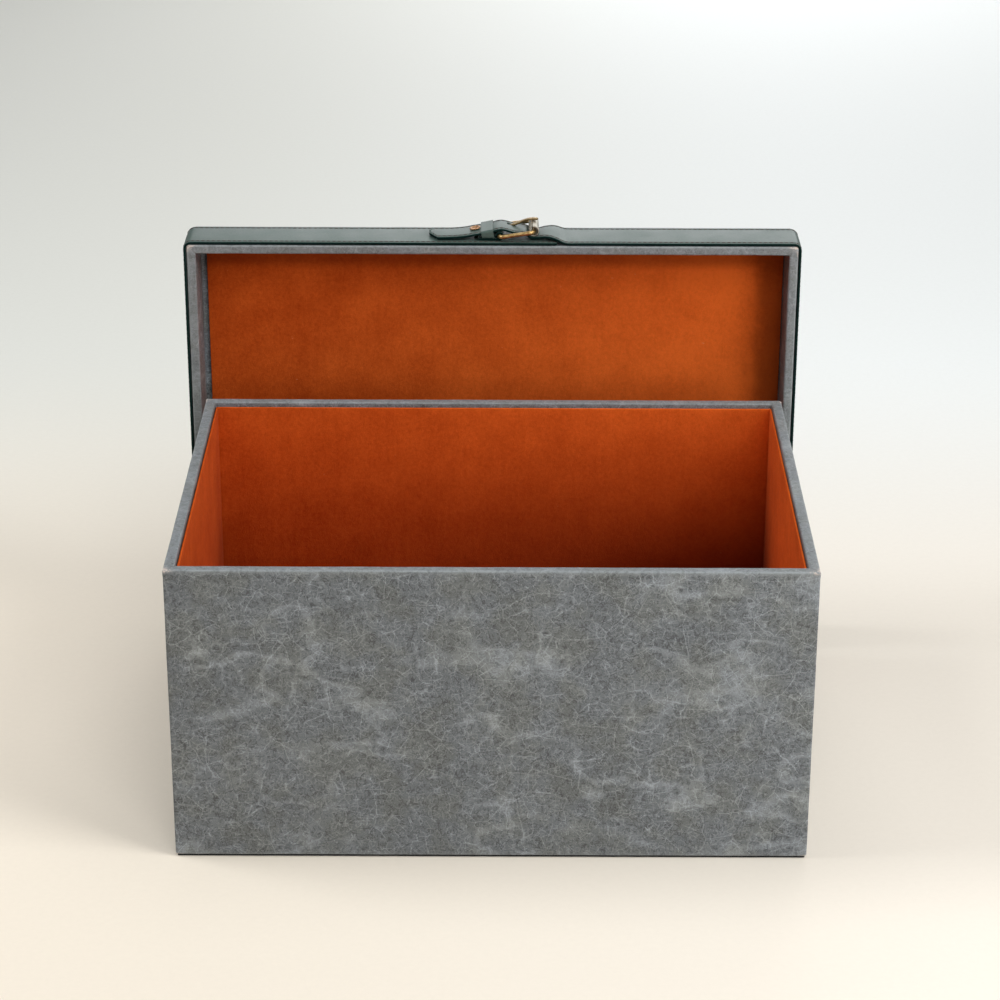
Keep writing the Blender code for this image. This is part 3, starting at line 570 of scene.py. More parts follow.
def rounded_slab(low, high, round_edge, step):
    """A closed slab with all its edges rounded, as a bmesh with a fine grid."""
    centre = (low + high) / 2
    half = (high - low) / 2
    radius = min(round_edge, SLAB_ROUND_LIMIT * min(half))
    lines = [slab_lines(half[axis], radius, step) for axis in range(3)]
    bm = bmesh.new()
    for axis in range(3):
        u_axis, v_axis = (axis + 1) % 3, (axis + 2) % 3
        for side in (1, -1):
            grid = []
            for u in lines[u_axis]:
                row = []
                for v in lines[v_axis]:
                    point = Vector((0.0, 0.0, 0.0))
                    point[axis] = side * half[axis]
                    point[u_axis] = u
                    point[v_axis] = v
                    row.append(bm.verts.new(point))
                grid.append(row)
            for near, far in zip(grid, grid[1:]):
                for index in range(len(near) - 1):
                    bm.faces.new((near[index], near[index + 1], far[index + 1], far[index]))
    bmesh.ops.remove_doubles(bm, verts=bm.verts, dist=MERGE)
    for vert in bm.verts:
        core = Vector()
        for axis in range(3):
            reach = half[axis] - radius
            core[axis] = max(-reach, min(reach, vert.co[axis]))
        away = vert.co - core
        vert.co = centre + core + away.normalized() * radius
    return bm


def build_suede_panel(name, node, material, body):
    """Suede glued over thin card: soft rolled edges and a slightly uneven face."""
    bm = rounded_slab(*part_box(node), SUEDE_ROUND, SUEDE_STEP)
    shift_verts(bm, suede_swell)
    new_piece(name, bm, [material], body, "orange_suede", [node])


def build_lining(box_material, lid_material):
    for side in ("floor", "front", "back", "left", "right"):
        build_suede_panel("suede_" + side, "lining_" + side, box_material, "box")
    build_suede_panel("lid_suede", "lid_lining", lid_material, "lid")


def build_base_cloth(material):
    bm = rounded_slab(*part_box("base_cover"), CLOTH_ROUND, CLOTH_STEP)
    new_piece("base_cloth", bm, [material], "box", "black_cloth", ["base_cover"])


# ---- the belt's path
def belt_y(height):
    """Y, as the lid lies on the box, of a point this high above the belt under the buckle."""
    return -(LID_HALF_Y + BELT_STANDS + height)


def buckle_point(x, height, across):
    return Vector((x, belt_y(height), BUCKLE_ACROSS + across))


def smooth_route(points, steps):
    """A curve through the given points (Catmull-Rom)."""
    padded = [points[0]] + points + [points[-1]]
    route = []
    for index in range(1, len(padded) - 2):
        before, start, end, after = padded[index - 1:index + 3]
        for step in range(steps):
            t = step / steps
            route.append(tuple(
                0.5 * (2 * b + (c - a) * t + (2 * a - 5 * b + 4 * c - d) * t ** 2
                       + (3 * b - a - 3 * c + d) * t ** 3)
                for a, b, c, d in zip(before, start, end, after)
            ))
    route.append(points[-1])
    return route


def strap_at(x):
    """Height of the strap's middle surface at a place along the belt, and its slope."""
    route = smooth_route(STRAP_ROUTE, ROUTE_STEPS)
    for (x1, h1), (x2, h2) in zip(route, route[1:]):
        if x2 <= x <= x1:
            slope = (h2 - h1) / (x2 - x1)
            return h1 + slope * (x - x1), slope
    return TIP_HEIGHT, 0.0


def strap_edges(x):
    """The strap's two edges, as distances from the lid's rim, after the belt has come
    round: it narrows towards the buckle, and its tip has both corners cut off."""
    share = (TAPER_WIDE_X - x) / (TAPER_WIDE_X - TAPER_NARROW_X)
    share = min(1.0, max(0.0, share))
    share = share * share * (3 - 2 * share)
    low = BELT_INSET + (BUCKLE_ACROSS - STRAP_HALF - BELT_INSET) * share
    high = BELT_INSET + BELT_WIDTH
    high += (BUCKLE_ACROSS + STRAP_HALF - high) * share
    low += tip_trim(x, *TIP_FRONT_CUT)
    high -= tip_trim(x, *TIP_BACK_CUT)
    return low, high


def tip_trim(x, along, across):
    return across * max(0.0, (STRAP_TIP_X + along - x) / along)


def strap_places():
    """The strap's route with a place where each corner's cut begins."""
    places = smooth_route(STRAP_ROUTE, ROUTE_STEPS)
    for along, _ in (TIP_FRONT_CUT, TIP_BACK_CUT):
        x = STRAP_TIP_X + along
        places.append((x, strap_at(x)[0]))
    return sorted(places, reverse=True)


def belt_stations():
    """The belt from its inner end round the lid to its tip, as the lid lies on the
    box: for each station (x, y, low edge, high edge)."""
    middle = BELT_GAP + BELT_THICKNESS / 2
    side_x = LID_HALF_X + middle
    side_y = LID_HALF_Y + middle
    full = (BELT_INSET, BELT_INSET + BELT_WIDTH)
    steps_x = round(2 * side_x / LEATHER_STEP)
    steps_y = round(2 * side_y / LEATHER_STEP)
    outline = rounded_outline(side_x, side_y, LID_CORNER + middle, steps_x, steps_y)
    outline.reverse()
    inner_end = UNDER_END_X - MERGE
    on_top = [spot for spot in outline if spot[1] < -side_y + MERGE and spot[0] < inner_end]
    start = outline.index(max(on_top))
    stations = [(UNDER_END_X, -side_y, *full)]
    for x, y in outline[start:] + outline[:start]:
        strap_above = y < -side_y + MERGE and inner_end <= x < STRAP_ROUTE[0][0] + MERGE
        if not strap_above:
            stations.append((x, y, *full))
    for x, height in strap_places():
        stations.append((x, belt_y(height), *strap_edges(x)))
    return stations


def outward(stations):
    """For each place on a path in X and Y, the direction to the left of its travel."""
    directions = []
    for index in range(len(stations)):
        before = stations[max(index - 1, 0)]
        after = stations[min(index + 1, len(stations) - 1)]
        along = Vector((after[0] - before[0], after[1] - before[1])).normalized()
        directions.append(Vector((-along.y, along.x, 0.0)))
    return directions


def face_height(from_edge, half):
    """Height of the belt's top face above its middle surface, at a distance from its
    edge: highest in the middle, with a raised line near the edge, then the groove that
    the stitches lie in."""
    crown = CROWN * (1 - from_edge / half) ** 2
    fold = FOLD * bell(from_edge - FOLD_INSET, FOLD_WIDTH)
    groove = GROOVE * bell(from_edge - STITCH_INSET, GROOVE_WIDTH)
    return BELT_THICKNESS / 2 - crown + fold - groove


def belt_section(width):
    """The belt's cross-section as (across from its middle, height from its middle,
    whether it is painted edge), with rounded edges."""
    half = width / 2
    thick = BELT_THICKNESS / 2
    r = BELT_EDGE_ROUND
    top = thick - CROWN
    corner = []
    for across, height in arc((half - r, top - r), r, 0.0, pi / 2, ARC_STEPS):
        corner.append((across, height, height < top - PAINTED_SHARE * r))
    margin = []
    for step in range(1, MARGIN_STEPS):
        from_edge = r + (STITCH_INSET + 3 * GROOVE_WIDTH - r) * step / MARGIN_STEPS
        margin.append((half - from_edge, face_height(from_edge, half), False))
    inner = half - STITCH_INSET - 3 * GROOVE_WIDTH
    flat = [inner - 2 * inner * step / FACE_STEPS for step in range(FACE_STEPS + 1)]
    face = [(across, face_height(half - abs(across), half), False) for across in flat]
    side = corner + margin
    mirrored = [(-across, height, painted) for across, height, painted in reversed(side)]
    lower = [(-across, -height, painted) for across, height, painted in corner]
    lower += [(across, -thick, False) for across in (-half / 2, 0.0, half / 2)]
    lower += [(across, -height, painted) for across, height, painted in reversed(corner)]
    return side + face + mirrored + lower


def build_belt(materials):
    stations = belt_stations()
    rings = []
    for index, out in enumerate(outward(stations)):
        x, y, low, high = stations[index]
        ring = []
        for across, height, painted in belt_section(high - low):
            point = Vector((x, y, (low + high) / 2 + across)) + out * height
            if height > 0 and not painted:
                spot = (index * LEATHER_STEP, across, 0.0)
                point += out * min(BELT_SWELL * wave(spot, SWELL_SIZE / 2, BELT_SEED), 0.0)
            ring.append(point)
        rings.append(ring)
    painted_points = [painted for _, _, painted in belt_section(BELT_WIDTH)]
    bm = skin(rings, painted_points, mark=1)
    belt = new_piece("belt", bm, materials, "lid", "green_leather", ["belt_strap"])
    cut(belt, prong_hole())
    cut(belt, rivet_hole())


# ---- holes
def cut(piece, cutter_bm):
    """Cuts a hole in the piece and gives it the cut mesh."""
    bmesh.ops.recalc_face_normals(cutter_bm, faces=cutter_bm.faces)
    cutter = add_mesh("cutter", cutter_bm)
    hole = piece.modifiers.new("hole", "BOOLEAN")
    hole.operation = "DIFFERENCE"
    hole.solver = "EXACT"
    hole.object = cutter
    view = bpy.context.evaluated_depsgraph_get()
    whole = piece.data
    piece.data = bpy.data.meshes.new_from_object(piece.evaluated_get(view), depsgraph=view)
    piece.modifiers.remove(hole)
    bpy.data.meshes.remove(whole)
    bpy.data.objects.remove(cutter)


def prism(outline, half_across, shift):
    """A solid with that outline, as (x, height), across the belt."""
    sides = (shift - half_across, shift + half_across)
    return skin([[buckle_point(x, height, side) for x, height in outline] for side in sides])


def prong_top():
    """Height of the prong's middle where it lies over the roller."""
    return ROLLER_HEIGHT + ROLLER_OUTER + SMALL_GAP + PRONG_THICKNESS / 2


def prong_hole():
    """The slanted hole that the prong comes up through, wide enough for its swing."""
    knee = Vector((PRONG_KNEE_X - HEEL_X, prong_top() - HEEL_HEIGHT))
    near = knee.normalized() * WIRE
    normal = Vector((-knee.y, knee.x)).normalized()
    clearance = normal * (PRONG_THICKNESS / 2 + PRONG_SLOT_CLEARANCE)
    turn = Matrix.Rotation(PRONG_SWING, 2)
    corners = [near - clearance, knee - clearance]
    corners += [turn @ (knee + clearance), turn @ (near + clearance)]
    outline = [(HEEL_X + corner.x, HEEL_HEIGHT + corner.y) for corner in corners]
    return prism(outline, PRONG_WIDTH / 2 + PRONG_SLOT_CLEARANCE, PRONG_SHIFT)


def rivet_frame():
    """Places the rivet's own axis, its Z, square to the strap."""
    height, slope = strap_at(RIVET_X)
    turn = Matrix.Rotation(-atan(slope), 4, "Z") @ Matrix.Rotation(pi / 2, 4, "X")
    return LID_PLACE @ Matrix.Translation(buckle_point(RIVET_X, height, 0.0)) @ turn


def turned(profile, sides, place):
    """A solid of revolution about Z from (radius, height) points, first and last on it."""
    bm = bmesh.new()
    start = bm.verts.new((0.0, 0.0, profile[0][1]))
    end = bm.verts.new((0.0, 0.0, profile[-1][1]))
    rings = []
    for radius, height in profile[1:-1]:
        rings.append([bm.verts.new((x, y, height)) for x, y in circle(sides, radius)])
    join_rings(bm, rings)
    for tip, ring in ((start, rings[0]), (end, rings[-1])):
        for side in range(sides):
            bm.faces.new((tip, ring[side], ring[(side + 1) % sides]))
    return stand(bm, place)


def rivet_hole():
    radius = RIVET_SHANK + SMALL_GAP
    reach = 4 * BELT_THICKNESS
    profile = [(0.0, -reach), (radius, -reach), (radius, reach), (0.0, reach)]
    return turned(profile, TURNED_SIDES, rivet_frame())


# ---- stitching
def stitch_lines():
    """The stitched lines as rows of (point, outward direction), as the lid lies on the box."""
    stations = belt_stations()
    surface = BELT_THICKNESS / 2 - CROWN - GROOVE + THREAD
    lines = []
    for side in (-1, 1):
        line = []
        for (x, y, low, high), out in zip(stations, outward(stations)):
            across = high - STITCH_INSET if side > 0 else low + STITCH_INSET
            if y > belt_y(0.0) or x > STRAP_TIP_X + STITCH_INSET:
                line.append((Vector((x, y, across)) + out * surface, out))
        lines.append(line)
    lines.append([lines[0][-1], lines[1][-1]])
    return lines


def stitch_places(line):
    """Stitch middles spaced evenly along a line: (point, direction, outward)."""
    places = []
    travelled = STITCH_PITCH / 2
    for (start, out), (end, _) in zip(line, line[1:]):
        length = (end - start).length
        while travelled < length:
            direction = (end - start) / length
            places.append((start + direction * travelled, direction, out))
            travelled += STITCH_PITCH
        travelled -= length
    return places


def add_stitch(bm, place, direction, out):
    """One stitch: a short plump thread whose ends dip into the leather."""
    side = direction.cross(out)
    rings = []
    for share, plump, dip in STITCH_SHAPE:
        centre = place + direction * STITCH_LENGTH / 2 * share - out * THREAD * dip
        offsets = [side * x + out * y for x, y in circle(THREAD_SIDES)]
        rings.append([bm.verts.new(centre + offset * THREAD * plump) for offset in offsets])
    join_rings(bm, rings)
    cap_ends(bm, rings)


def build_stitching(material):
    bm = bmesh.new()
    for line in stitch_lines():
        for place, direction, out in stitch_places(line):
            add_stitch(bm, place, direction, out)
    new_piece("belt_stitching", stand(bm), [material], "lid", "green_leather", [])


# ---- buckle
def ribbon(stations, shift, round_edge):
    """A strip along the belt with rounded edges: each station gives its middle as
    (x, height), then its thickness and its half width across the belt."""
    rings = []
    for (x, height, thickness, half), out in zip(stations, outward(stations)):
        radius = min(round_edge, thickness / 2 - MERGE)
        outline = rounded_outline(half, thickness / 2, radius, RIBBON_STEPS, 1, ARC_STEPS)
        ring = []
        for across, up in outline:
            spot = Vector((x, height, 0.0)) + out * up
            ring.append(buckle_point(spot.x, spot.y, shift + across))
        rings.append(ring)
        painted = [abs(across) > half - radius + MERGE for across, _ in outline]
    return skin(rings, painted, mark=1)


def build_rivet(material):
    """A tubular rivet with a rolled head, dented in its middle."""
    base = BELT_THICKNESS / 2 + SMALL_GAP
    bottom = BELT_GAP - BELT_THICKNESS - strap_at(RIVET_X)[0]
    rolled = arc((RIVET_HEAD - RIVET_RISE / 2, base + RIVET_RISE / 2), RIVET_RISE / 2, 0.0, pi / 2)
    profile = [(0.0, bottom), (RIVET_SHANK, bottom), (RIVET_SHANK, base)]
    profile += [(RIVET_HEAD - RIVET_RISE / 2, base)] + rolled
    profile += [(share * RIVET_HEAD, base + rise * RIVET_RISE) for share, rise in RIVET_DENT]
    bm = turned(profile, TURNED_SIDES, rivet_frame())
    new_piece("rivet", bm, [material], "lid", "aged_brass", ["strap_rivet"])


def build_chape(materials):
    """The tab folded round the heel bar, with a slot for the prong."""
    radius = WIRE + SMALL_GAP + CHAPE / 2
    tail_height = SMALL_GAP + CHAPE / 2
    stations = [(x, tail_height, CHAPE) for x, _ in run((CHAPE_TAIL_X, 0.0), (HEEL_X, 0.0), RIM_STEP)]
    wrap = arc((HEEL_X, HEEL_HEIGHT), radius, -pi / 2, CHAPE_WRAP_END, 3 * ARC_STEPS)
    stations += [(x, height, CHAPE) for x, height in wrap]
    stations += CHAPE_UPPER
    bm = ribbon([(*station, STRAP_HALF) for station in stations], 0.0, CHAPE_ROUND)
    chape = new_piece("chape", bm, materials, "lid", "green_leather", ["buckle_chape"])
    left, right = CHAPE_SLOT
    outline = [(HEEL_X - left, -SMALL_GAP), (HEEL_X + right, -SMALL_GAP)]
    outline += [(HEEL_X + right, CHAPE_SLOT_TOP), (HEEL_X - left, CHAPE_SLOT_TOP)]
    cut(chape, prism(outline, PRONG_WIDTH / 2 + 2 * PRONG_SLOT_CLEARANCE, PRONG_SHIFT))


def build_keeper(material):
    """A leather loop round the strap, its lower side held inside the folded tab. Its
    cross-section is rounded and runs round the loop."""
    half_length = KEEPER_LENGTH / 2
    bottom = 2 * SMALL_GAP + CHAPE + KEEPER / 2
    rings = []
    section = rounded_outline(half_length, KEEPER / 2, KEEPER_EDGE_ROUND, ARC_STEPS, 1, ARC_STEPS)
    for along, out in section:
        top = strap_at(KEEPER_X + along)[0] + BELT_THICKNESS / 2 + SMALL_GAP + KEEPER / 2
        half_height = (top - bottom) / 2
        loop = rounded_outline(
            STRAP_HALF + KEEPER_SLACK + KEEPER / 2 + out, half_height + out,
            KEEPER_ROUND + out, KEEPER_SIDE_STEPS, 2, ARC_STEPS,
        )
        ring = []
        for across, height in loop:
            lean = KEEPER_LEAN * (half_height - height)
            x = KEEPER_X + along + lean
            ring.append(buckle_point(x, (top + bottom) / 2 + height, across))
        rings.append(ring)
    bm = skin(rings, looped=True)
    new_piece("keeper", bm, [material], "lid", "green_leather", ["keeper_loop"])


def build_buckle_frame(material):
    """A bent wire frame, a little flattened where it has worn."""
    heel = Vector((HEEL_X, HEEL_HEIGHT))
    along = Vector((ROLLER_X, ROLLER_HEIGHT)) - heel
    length = along.length
    along /= length
    normal = Vector((-along.y, along.x))
    path = rounded_outline(length / 2, FRAME_HALF_ACROSS, FRAME_BEND, WIRE_STEPS, WIRE_STEPS)
    rings = []
    for index, (place_along, across) in enumerate(path):
        following = Vector(path[(index + 1) % len(path)])
        travel = (following - Vector(path[index - 1])).normalized()
        side = Vector((travel.y, -travel.x))
        thick = WIRE * (1.0 - WIRE_WEAR * (1.0 + wave((place_along, across, 0.0), 2 * WIRE)))
        ring = []
        for aside, up in circle(WIRE_SIDES):
            out = side * thick * aside
            spot = heel + along * (length / 2 + place_along + out.x) + normal * thick * up
            ring.append(buckle_point(spot.x, spot.y, across + out.y))
        rings.append(ring)
    bm = skin(rings, looped=True)
    new_piece("wire_frame", bm, [material], "frame", "aged_brass", ["buckle_frame"])


def build_roller(material):
    """A rolled tube with an open seam and rounded ends."""
    half = ROLLER_LENGTH / 2
    middle = (ROLLER_OUTER + ROLLER_INNER) / 2
    thick = (ROLLER_OUTER - ROLLER_INNER) / 2
    section = rounded_outline(half, thick, ROLLER_END_ROUND, 2 * ARC_STEPS, 1, ARC_STEPS)
    start = SEAM_ANGLE + SEAM / (2 * ROLLER_OUTER)
    end = SEAM_ANGLE - SEAM / (2 * ROLLER_OUTER) + 2 * pi
    rings = []
    for step in range(ROLLER_STEPS + 1):
        angle = start + (end - start) * step / ROLLER_STEPS
        ring = []
        for across, out in section:
            radius = middle + out
            x = ROLLER_X + radius * cos(angle)
            ring.append(buckle_point(x, ROLLER_HEIGHT + radius * sin(angle), across))
        rings.append(ring)
    new_piece("roller_tube", skin(rings), [material], "roller", "aged_brass", ["buckle_roller"])


def build_prong(material):
    """A tongue bent round the heel bar, rising through the strap to lie on the roller."""
    heel = Vector((HEEL_X, HEEL_HEIGHT))
    radius = WIRE + PRONG_EYE_CLEARANCE + PRONG_EYE / 2
    knee = Vector((PRONG_KNEE_X, prong_top())) - heel
    rise = atan2(knee.y, knee.x)
    half = PRONG_WIDTH / 2
    eye = arc(tuple(heel), radius, rise + EYE_START, rise + EYE_END, 6 * ARC_STEPS)
    stations = [(x, height, PRONG_EYE, half) for x, height in eye]
    leave = heel + Vector(knee).normalized() * EYE_LEAVE
    end = Vector((PRONG_END_X, prong_top() + PRONG_END_RISE))
    route = [tuple(leave)] + [tuple(heel + knee * share) for share in PRONG_RISE]
    route += [(PRONG_KNEE_X + PRONG_THICKNESS, prong_top()), tuple(end)]
    for x, height in smooth_route(route, ROUTE_STEPS):
        from_end = max(end.x - x, 0.0)
        blunt = sqrt(min(1.0, (from_end + PRONG_TIP) / PRONG_BLUNT))
        stations.append((x, height, PRONG_THICKNESS * blunt, half * blunt))
    bm = ribbon(stations, PRONG_SHIFT, PRONG_ROUND)
    new_piece("tongue", bm, [material, material], "prong", "aged_brass", ["buckle_prong"])


# ---- materials
class Look:
    """A material's or world's nodes. Each method adds a node and returns its output."""

    def __init__(self, name, group=bpy.data.materials, shader="Principled BSDF", space="Object"):
        self.material = group.new(name)
        self.material.use_nodes = True
        self.tree = self.material.node_tree
        self.shader = self.tree.nodes[shader]
        self.place = self.add("TexCoord").outputs[space]

    def add(self, kind, inputs=None, **settings):
        node = self.tree.nodes.new("ShaderNode" + kind)
        for key, value in settings.items():
            setattr(node, key, value)
        for key, value in (inputs or {}).items():
            self.feed(node.inputs[key], value)
        return node

    def feed(self, socket, value):
        if isinstance(value, bpy.types.NodeSocket):
            self.tree.links.new(value, socket)
        else:
            socket.default_value = value

    def set(self, **inputs):
        for key, value in inputs.items():
            self.feed(self.shader.inputs[key.replace("_", " ")], value)

    def calc(self, operation, first, second=0.0, clamp=False):
        node = self.add("Math", {0: first, 1: second}, operation=operation)
        node.use_clamp = clamp
        return node.outputs[0]

    def vector(self, operation, first, second):
        return self.add("VectorMath", {0: first, 1: second}, operation=operation).outputs[0]

    def noise(self, scale, detail=3.0, roughness=0.55, at=None):
        inputs = {"Vector": at or self.place, "Scale": scale, "Detail": detail, "Roughness": roughness}
        return self.add("TexNoise", inputs).outputs[0]

    def signed(self, scale, detail=3.0, roughness=0.55, at=None):
        """Noise about zero, from about -1 to 1."""
        centred = self.calc("SUBTRACT", self.noise(scale, detail, roughness, at), 0.5)
        return self.times(centred, 4.0)

    def cells(self, scale, feature="F1", at=None):
        inputs = {"Vector": at or self.place, "Scale": scale}
        return self.add("TexVoronoi", inputs, feature=feature).outputs["Distance"]

    def moved(self, scale, amount, at=None):
        """The place, shifted by noise of that scale, to bend straight patterns."""
        start = at or self.place
        inputs = {"Vector": start, "Scale": scale, "Detail": 2.0}
        colour = self.add("TexNoise", inputs).outputs[1]
        centred = self.vector("SUBTRACT", colour, (0.5, 0.5, 0.5))
        return self.vector("ADD", start, self.vector("MULTIPLY", centred, (amount, amount, amount)))

    def stretched(self, factors, at=None):
        return self.vector("MULTIPLY", at or self.place, factors)

    def axis(self, name):
        return self.add("SeparateXYZ", {0: self.place}).outputs[name]

    def band(self, value, low, high, bottom=0.0, top=1.0):
        """Runs smoothly from bottom to top as the value goes from low to high."""
        inputs = {"Value": value, "From Min": low, "From Max": high, "To Min": bottom, "To Max": top}
        return self.add("MapRange", inputs, interpolation_type="SMOOTHSTEP").outputs[0]

    def ridge(self, scale, width, detail=2.0, at=None, level=0.5):
        """Thin wandering lines where the noise crosses a level."""
        value = self.noise(scale, detail, 0.5, at)
        away = self.calc("ABSOLUTE", self.calc("SUBTRACT", value, level))
        return self.band(away, 0.0, width, 1.0, 0.0)

    def net(self, scale, width, at=None):
        """Cracks between cells, thinner the smaller the width."""
        return self.band(self.cells(scale, "DISTANCE_TO_EDGE", at), 0.0, width, 1.0, 0.0)

    def mask(self, value, scale, low, high):
        """The value, kept only in patches of that scale."""
        return self.times(value, self.band(self.noise(scale, 2.0), low, high))

    def mix(self, share, first, second):
        node = self.add("Mix", {"Factor": share}, data_type="RGBA")
        self.feed(node.inputs[6], first)
        self.feed(node.inputs[7], second)
        return node.outputs[2]

    def ramp(self, value, low, low_colour, high, high_colour):
        node = self.add("ValToRGB", {"Fac": value})
        first, last = node.color_ramp.elements
        first.position, first.color = low, low_colour
        last.position, last.color = high, high_colour
        return node.outputs[0]

    def attribute(self, name):
        return self.add("Attribute", attribute_name=name).outputs["Fac"]

    def times(self, first, second, clamp=False):
        return self.calc("MULTIPLY", first, second, clamp)

    def total(self, base, *terms):
        """base plus each (amount, weight)."""
        value = base
        for amount, weight in terms:
            value = self.calc("ADD", value, self.times(amount, weight))
        return value

    def finish(self, colour, roughness, height, distance, strength, **more):
        """Feeds the shader, with a bump of that height, and returns the material."""
        inputs = {"Height": height, "Distance": distance, "Strength": strength}
        bump = self.add("Bump", inputs).outputs[0]
        self.set(Base_Color=colour, Roughness=roughness, Normal=bump, **more)
        return self.material


def grey_leather():
    """Waxed grey leather: cool and olive clouds, wandering pale smears, a dense crackle of short pale and
    dark strokes, hair-thin pale creases, worn edges, and a painted highlight along the rim tops."""
    look = Look("grey_leather_look")
    bent = look.moved(60.0, 0.012)
    fine_bent = look.moved(300.0, 0.0030, bent)
    clouds = look.signed(24.0, 4.0, 0.6)
    drawn = look.stretched((0.7, 0.7, 1.45), bent)
    smears = look.mask(look.ridge(18.0, 0.042, 2.0, drawn), 14.0, 0.38, 0.58)
    smaller_smears = look.mask(look.ridge(44.0, 0.050, 2.0, bent, 0.53), 26.0, 0.42, 0.60)
    slight = look.moved(150.0, 0.0020)
    hairs = look.mask(look.net(64.0, 0.021, slight), 75.0, 0.44, 0.54)
    pulled = look.stretched((0.5, 0.5, 1.7), slight)
    strokes = look.mask(look.ridge(75.0, 0.020, 1.0, pulled), 60.0, 0.45, 0.56)
    fine_hairs = look.mask(look.net(170.0, 0.055, slight), 170.0, 0.42, 0.52)
    dark_hairs = look.mask(look.net(95.0, 0.030, fine_bent), 130.0, 0.46, 0.58)
    crackle = look.mask(look.net(400.0, 0.16, slight), 330.0, 0.44, 0.58)
    dark_crackle = look.mask(look.net(460.0, 0.17, fine_bent), 300.0, 0.42, 0.56)
    grain = look.total(0.0, (look.signed(1000.0, 1.0), 0.5), (look.signed(2000.0, 1.0), 0.5))
    tone = look.total(
        0.27, (clouds, 0.060), (smears, 0.29), (smaller_smears, 0.16), (hairs, 0.36),
        (strokes, 0.22), (fine_hairs, 0.27), (dark_hairs, -0.24), (crackle, 0.23), (dark_crackle, -0.23),
        (grain, 0.17),
    )
    cool = look.ramp(tone, 0.0, LEATHER_DARK_COOL, 1.0, LEATHER_PALE_COOL)
    warm = look.ramp(tone, 0.0, LEATHER_DARK_WARM, 1.0, LEATHER_PALE_WARM)
    colour = look.mix(look.band(look.noise(40.0, 3.0), 0.40, 0.62), cool, warm)
    # Worn edges, and a painted highlight laid along the rim tops, pale the colour here.
    wear_and_highlight = look.attribute("wear_and_highlight")
    patchy = look.band(look.noise(360.0, 3.0, 0.7), 0.30, 0.60, 0.35, 1.0)
    colour = look.mix(look.times(wear_and_highlight, patchy, clamp=True), colour, LEATHER_WORN_AND_HIGHLIGHT)
    scuff = look.band(look.attribute("scuff"), 0.15, 0.70)
    bare = look.times(scuff, look.band(look.noise(520.0, 3.0, 0.7), 0.38, 0.56))
    colour = look.mix(bare, colour, LEATHER_BARE)
    height = look.total(
        0.0, (crackle, 0.45), (hairs, 0.40), (fine_hairs, 0.30), (strokes, 0.25), (grain, 0.15),
        (smears, 0.25), (dark_hairs, -0.5), (dark_crackle, -0.4),
    )
    roughness = look.total(0.56, (clouds, -0.05), (wear_and_highlight, 0.08))
    return look.finish(colour, roughness, height, 0.00014, 0.8, Specular_IOR_Level=0.45)


def orange_suede(name, shade, lift, sheen):
    """Brushed suede: cloudy nap, streaks down the walls, fine fibres, a few pale flecks.
    shade(look) gives the painted shade at each place, and lift how much paler a painted light makes the
    suede towards the right."""
    look = Look(name)
    clouds = look.signed(34.0, 4.0, 0.6)
    streaks = look.signed(170.0, 3.0, 0.6, look.stretched((1.0, 1.0, 0.14)))
    flecks = look.signed(420.0, 3.0, 0.7)
    fibres = look.signed(2100.0, 2.0, 0.8)
    # painted light: the suede is painted paler towards the right, where the light falls
    rightward = look.band(look.axis("X"), LID_LOW.x, LID_HIGH.x, -0.3, 1.0)
    tone = look.total(
        0.52, (clouds, 0.17), (streaks, 0.04), (flecks, 0.14), (fibres, 0.14), (rightward, lift),
    )
    colour = look.ramp(tone, 0.10, SUEDE_DARK, 0.95, SUEDE_PALE)
    scuffs = look.mask(look.band(look.noise(150.0, 4.0, 0.75), 0.70, 0.76), 18.0, 0.45, 0.55)
    colour = look.mix(look.times(scuffs, 0.6), colour, SUEDE_SCUFF)
    # painted shade, where the box's walls and the lid's skirt shadow the suede
    colour = look.mix(shade(look), colour, SUEDE_SHADE)
    height = look.total(0.0, (fibres, 0.5), (flecks, 0.4), (streaks, 0.3))
    look.set(Sheen_Weight=sheen, Sheen_Roughness=0.45, Sheen_Tint=SUEDE_SHEEN)
    return look.finish(colour, 0.95, height, 0.00022, 0.7, Specular_IOR_Level=0.03)


def box_painted_shade(look):
    """Painted shade: darkest low on the back wall, towards the right, where the front and right walls
    shadow it.
    """
    low = look.band(look.axis("Z"), PAINTED_SHADE_LOW, BOX_HIGH.z, 1.0, 0.0)
    right = look.band(look.axis("X"), BOX_LOW.x, BOX_HIGH.x, PAINTED_SHADE_LEFT, 1.0)
    back = look.band(look.axis("Y"), 0.0, BOX_HIGH.y - 2 * BOX_WALL)
    return look.times(look.times(low, right), look.times(back, PAINTED_SHADE_DEPTH))


def lid_painted_shadow(look):
    """Painted shadow: a darker band down the panel's right side, where the skirt's right wall shades it,
    and a thin one along its top, under the skirt.
    """
    edge = look.total(LID_HIGH.x - LID_WALL - LID_BAND, (look.signed(60.0), LID_BAND_WANDER))
    away = look.calc("SUBTRACT", look.axis("X"), edge)
    side = look.band(away, -LID_BAND_SOFT, LID_BAND_SOFT, 0.0, LID_BAND_DEPTH)
    top_edge = LID_HIGH.z - LID_WALL
    top = look.band(
        look.axis("Z"), top_edge - LID_TOP_BAND, top_edge - LID_TOP_BAND_END, 0.0, LID_BAND_DEPTH
    )
    return look.calc("MAXIMUM", side, top)


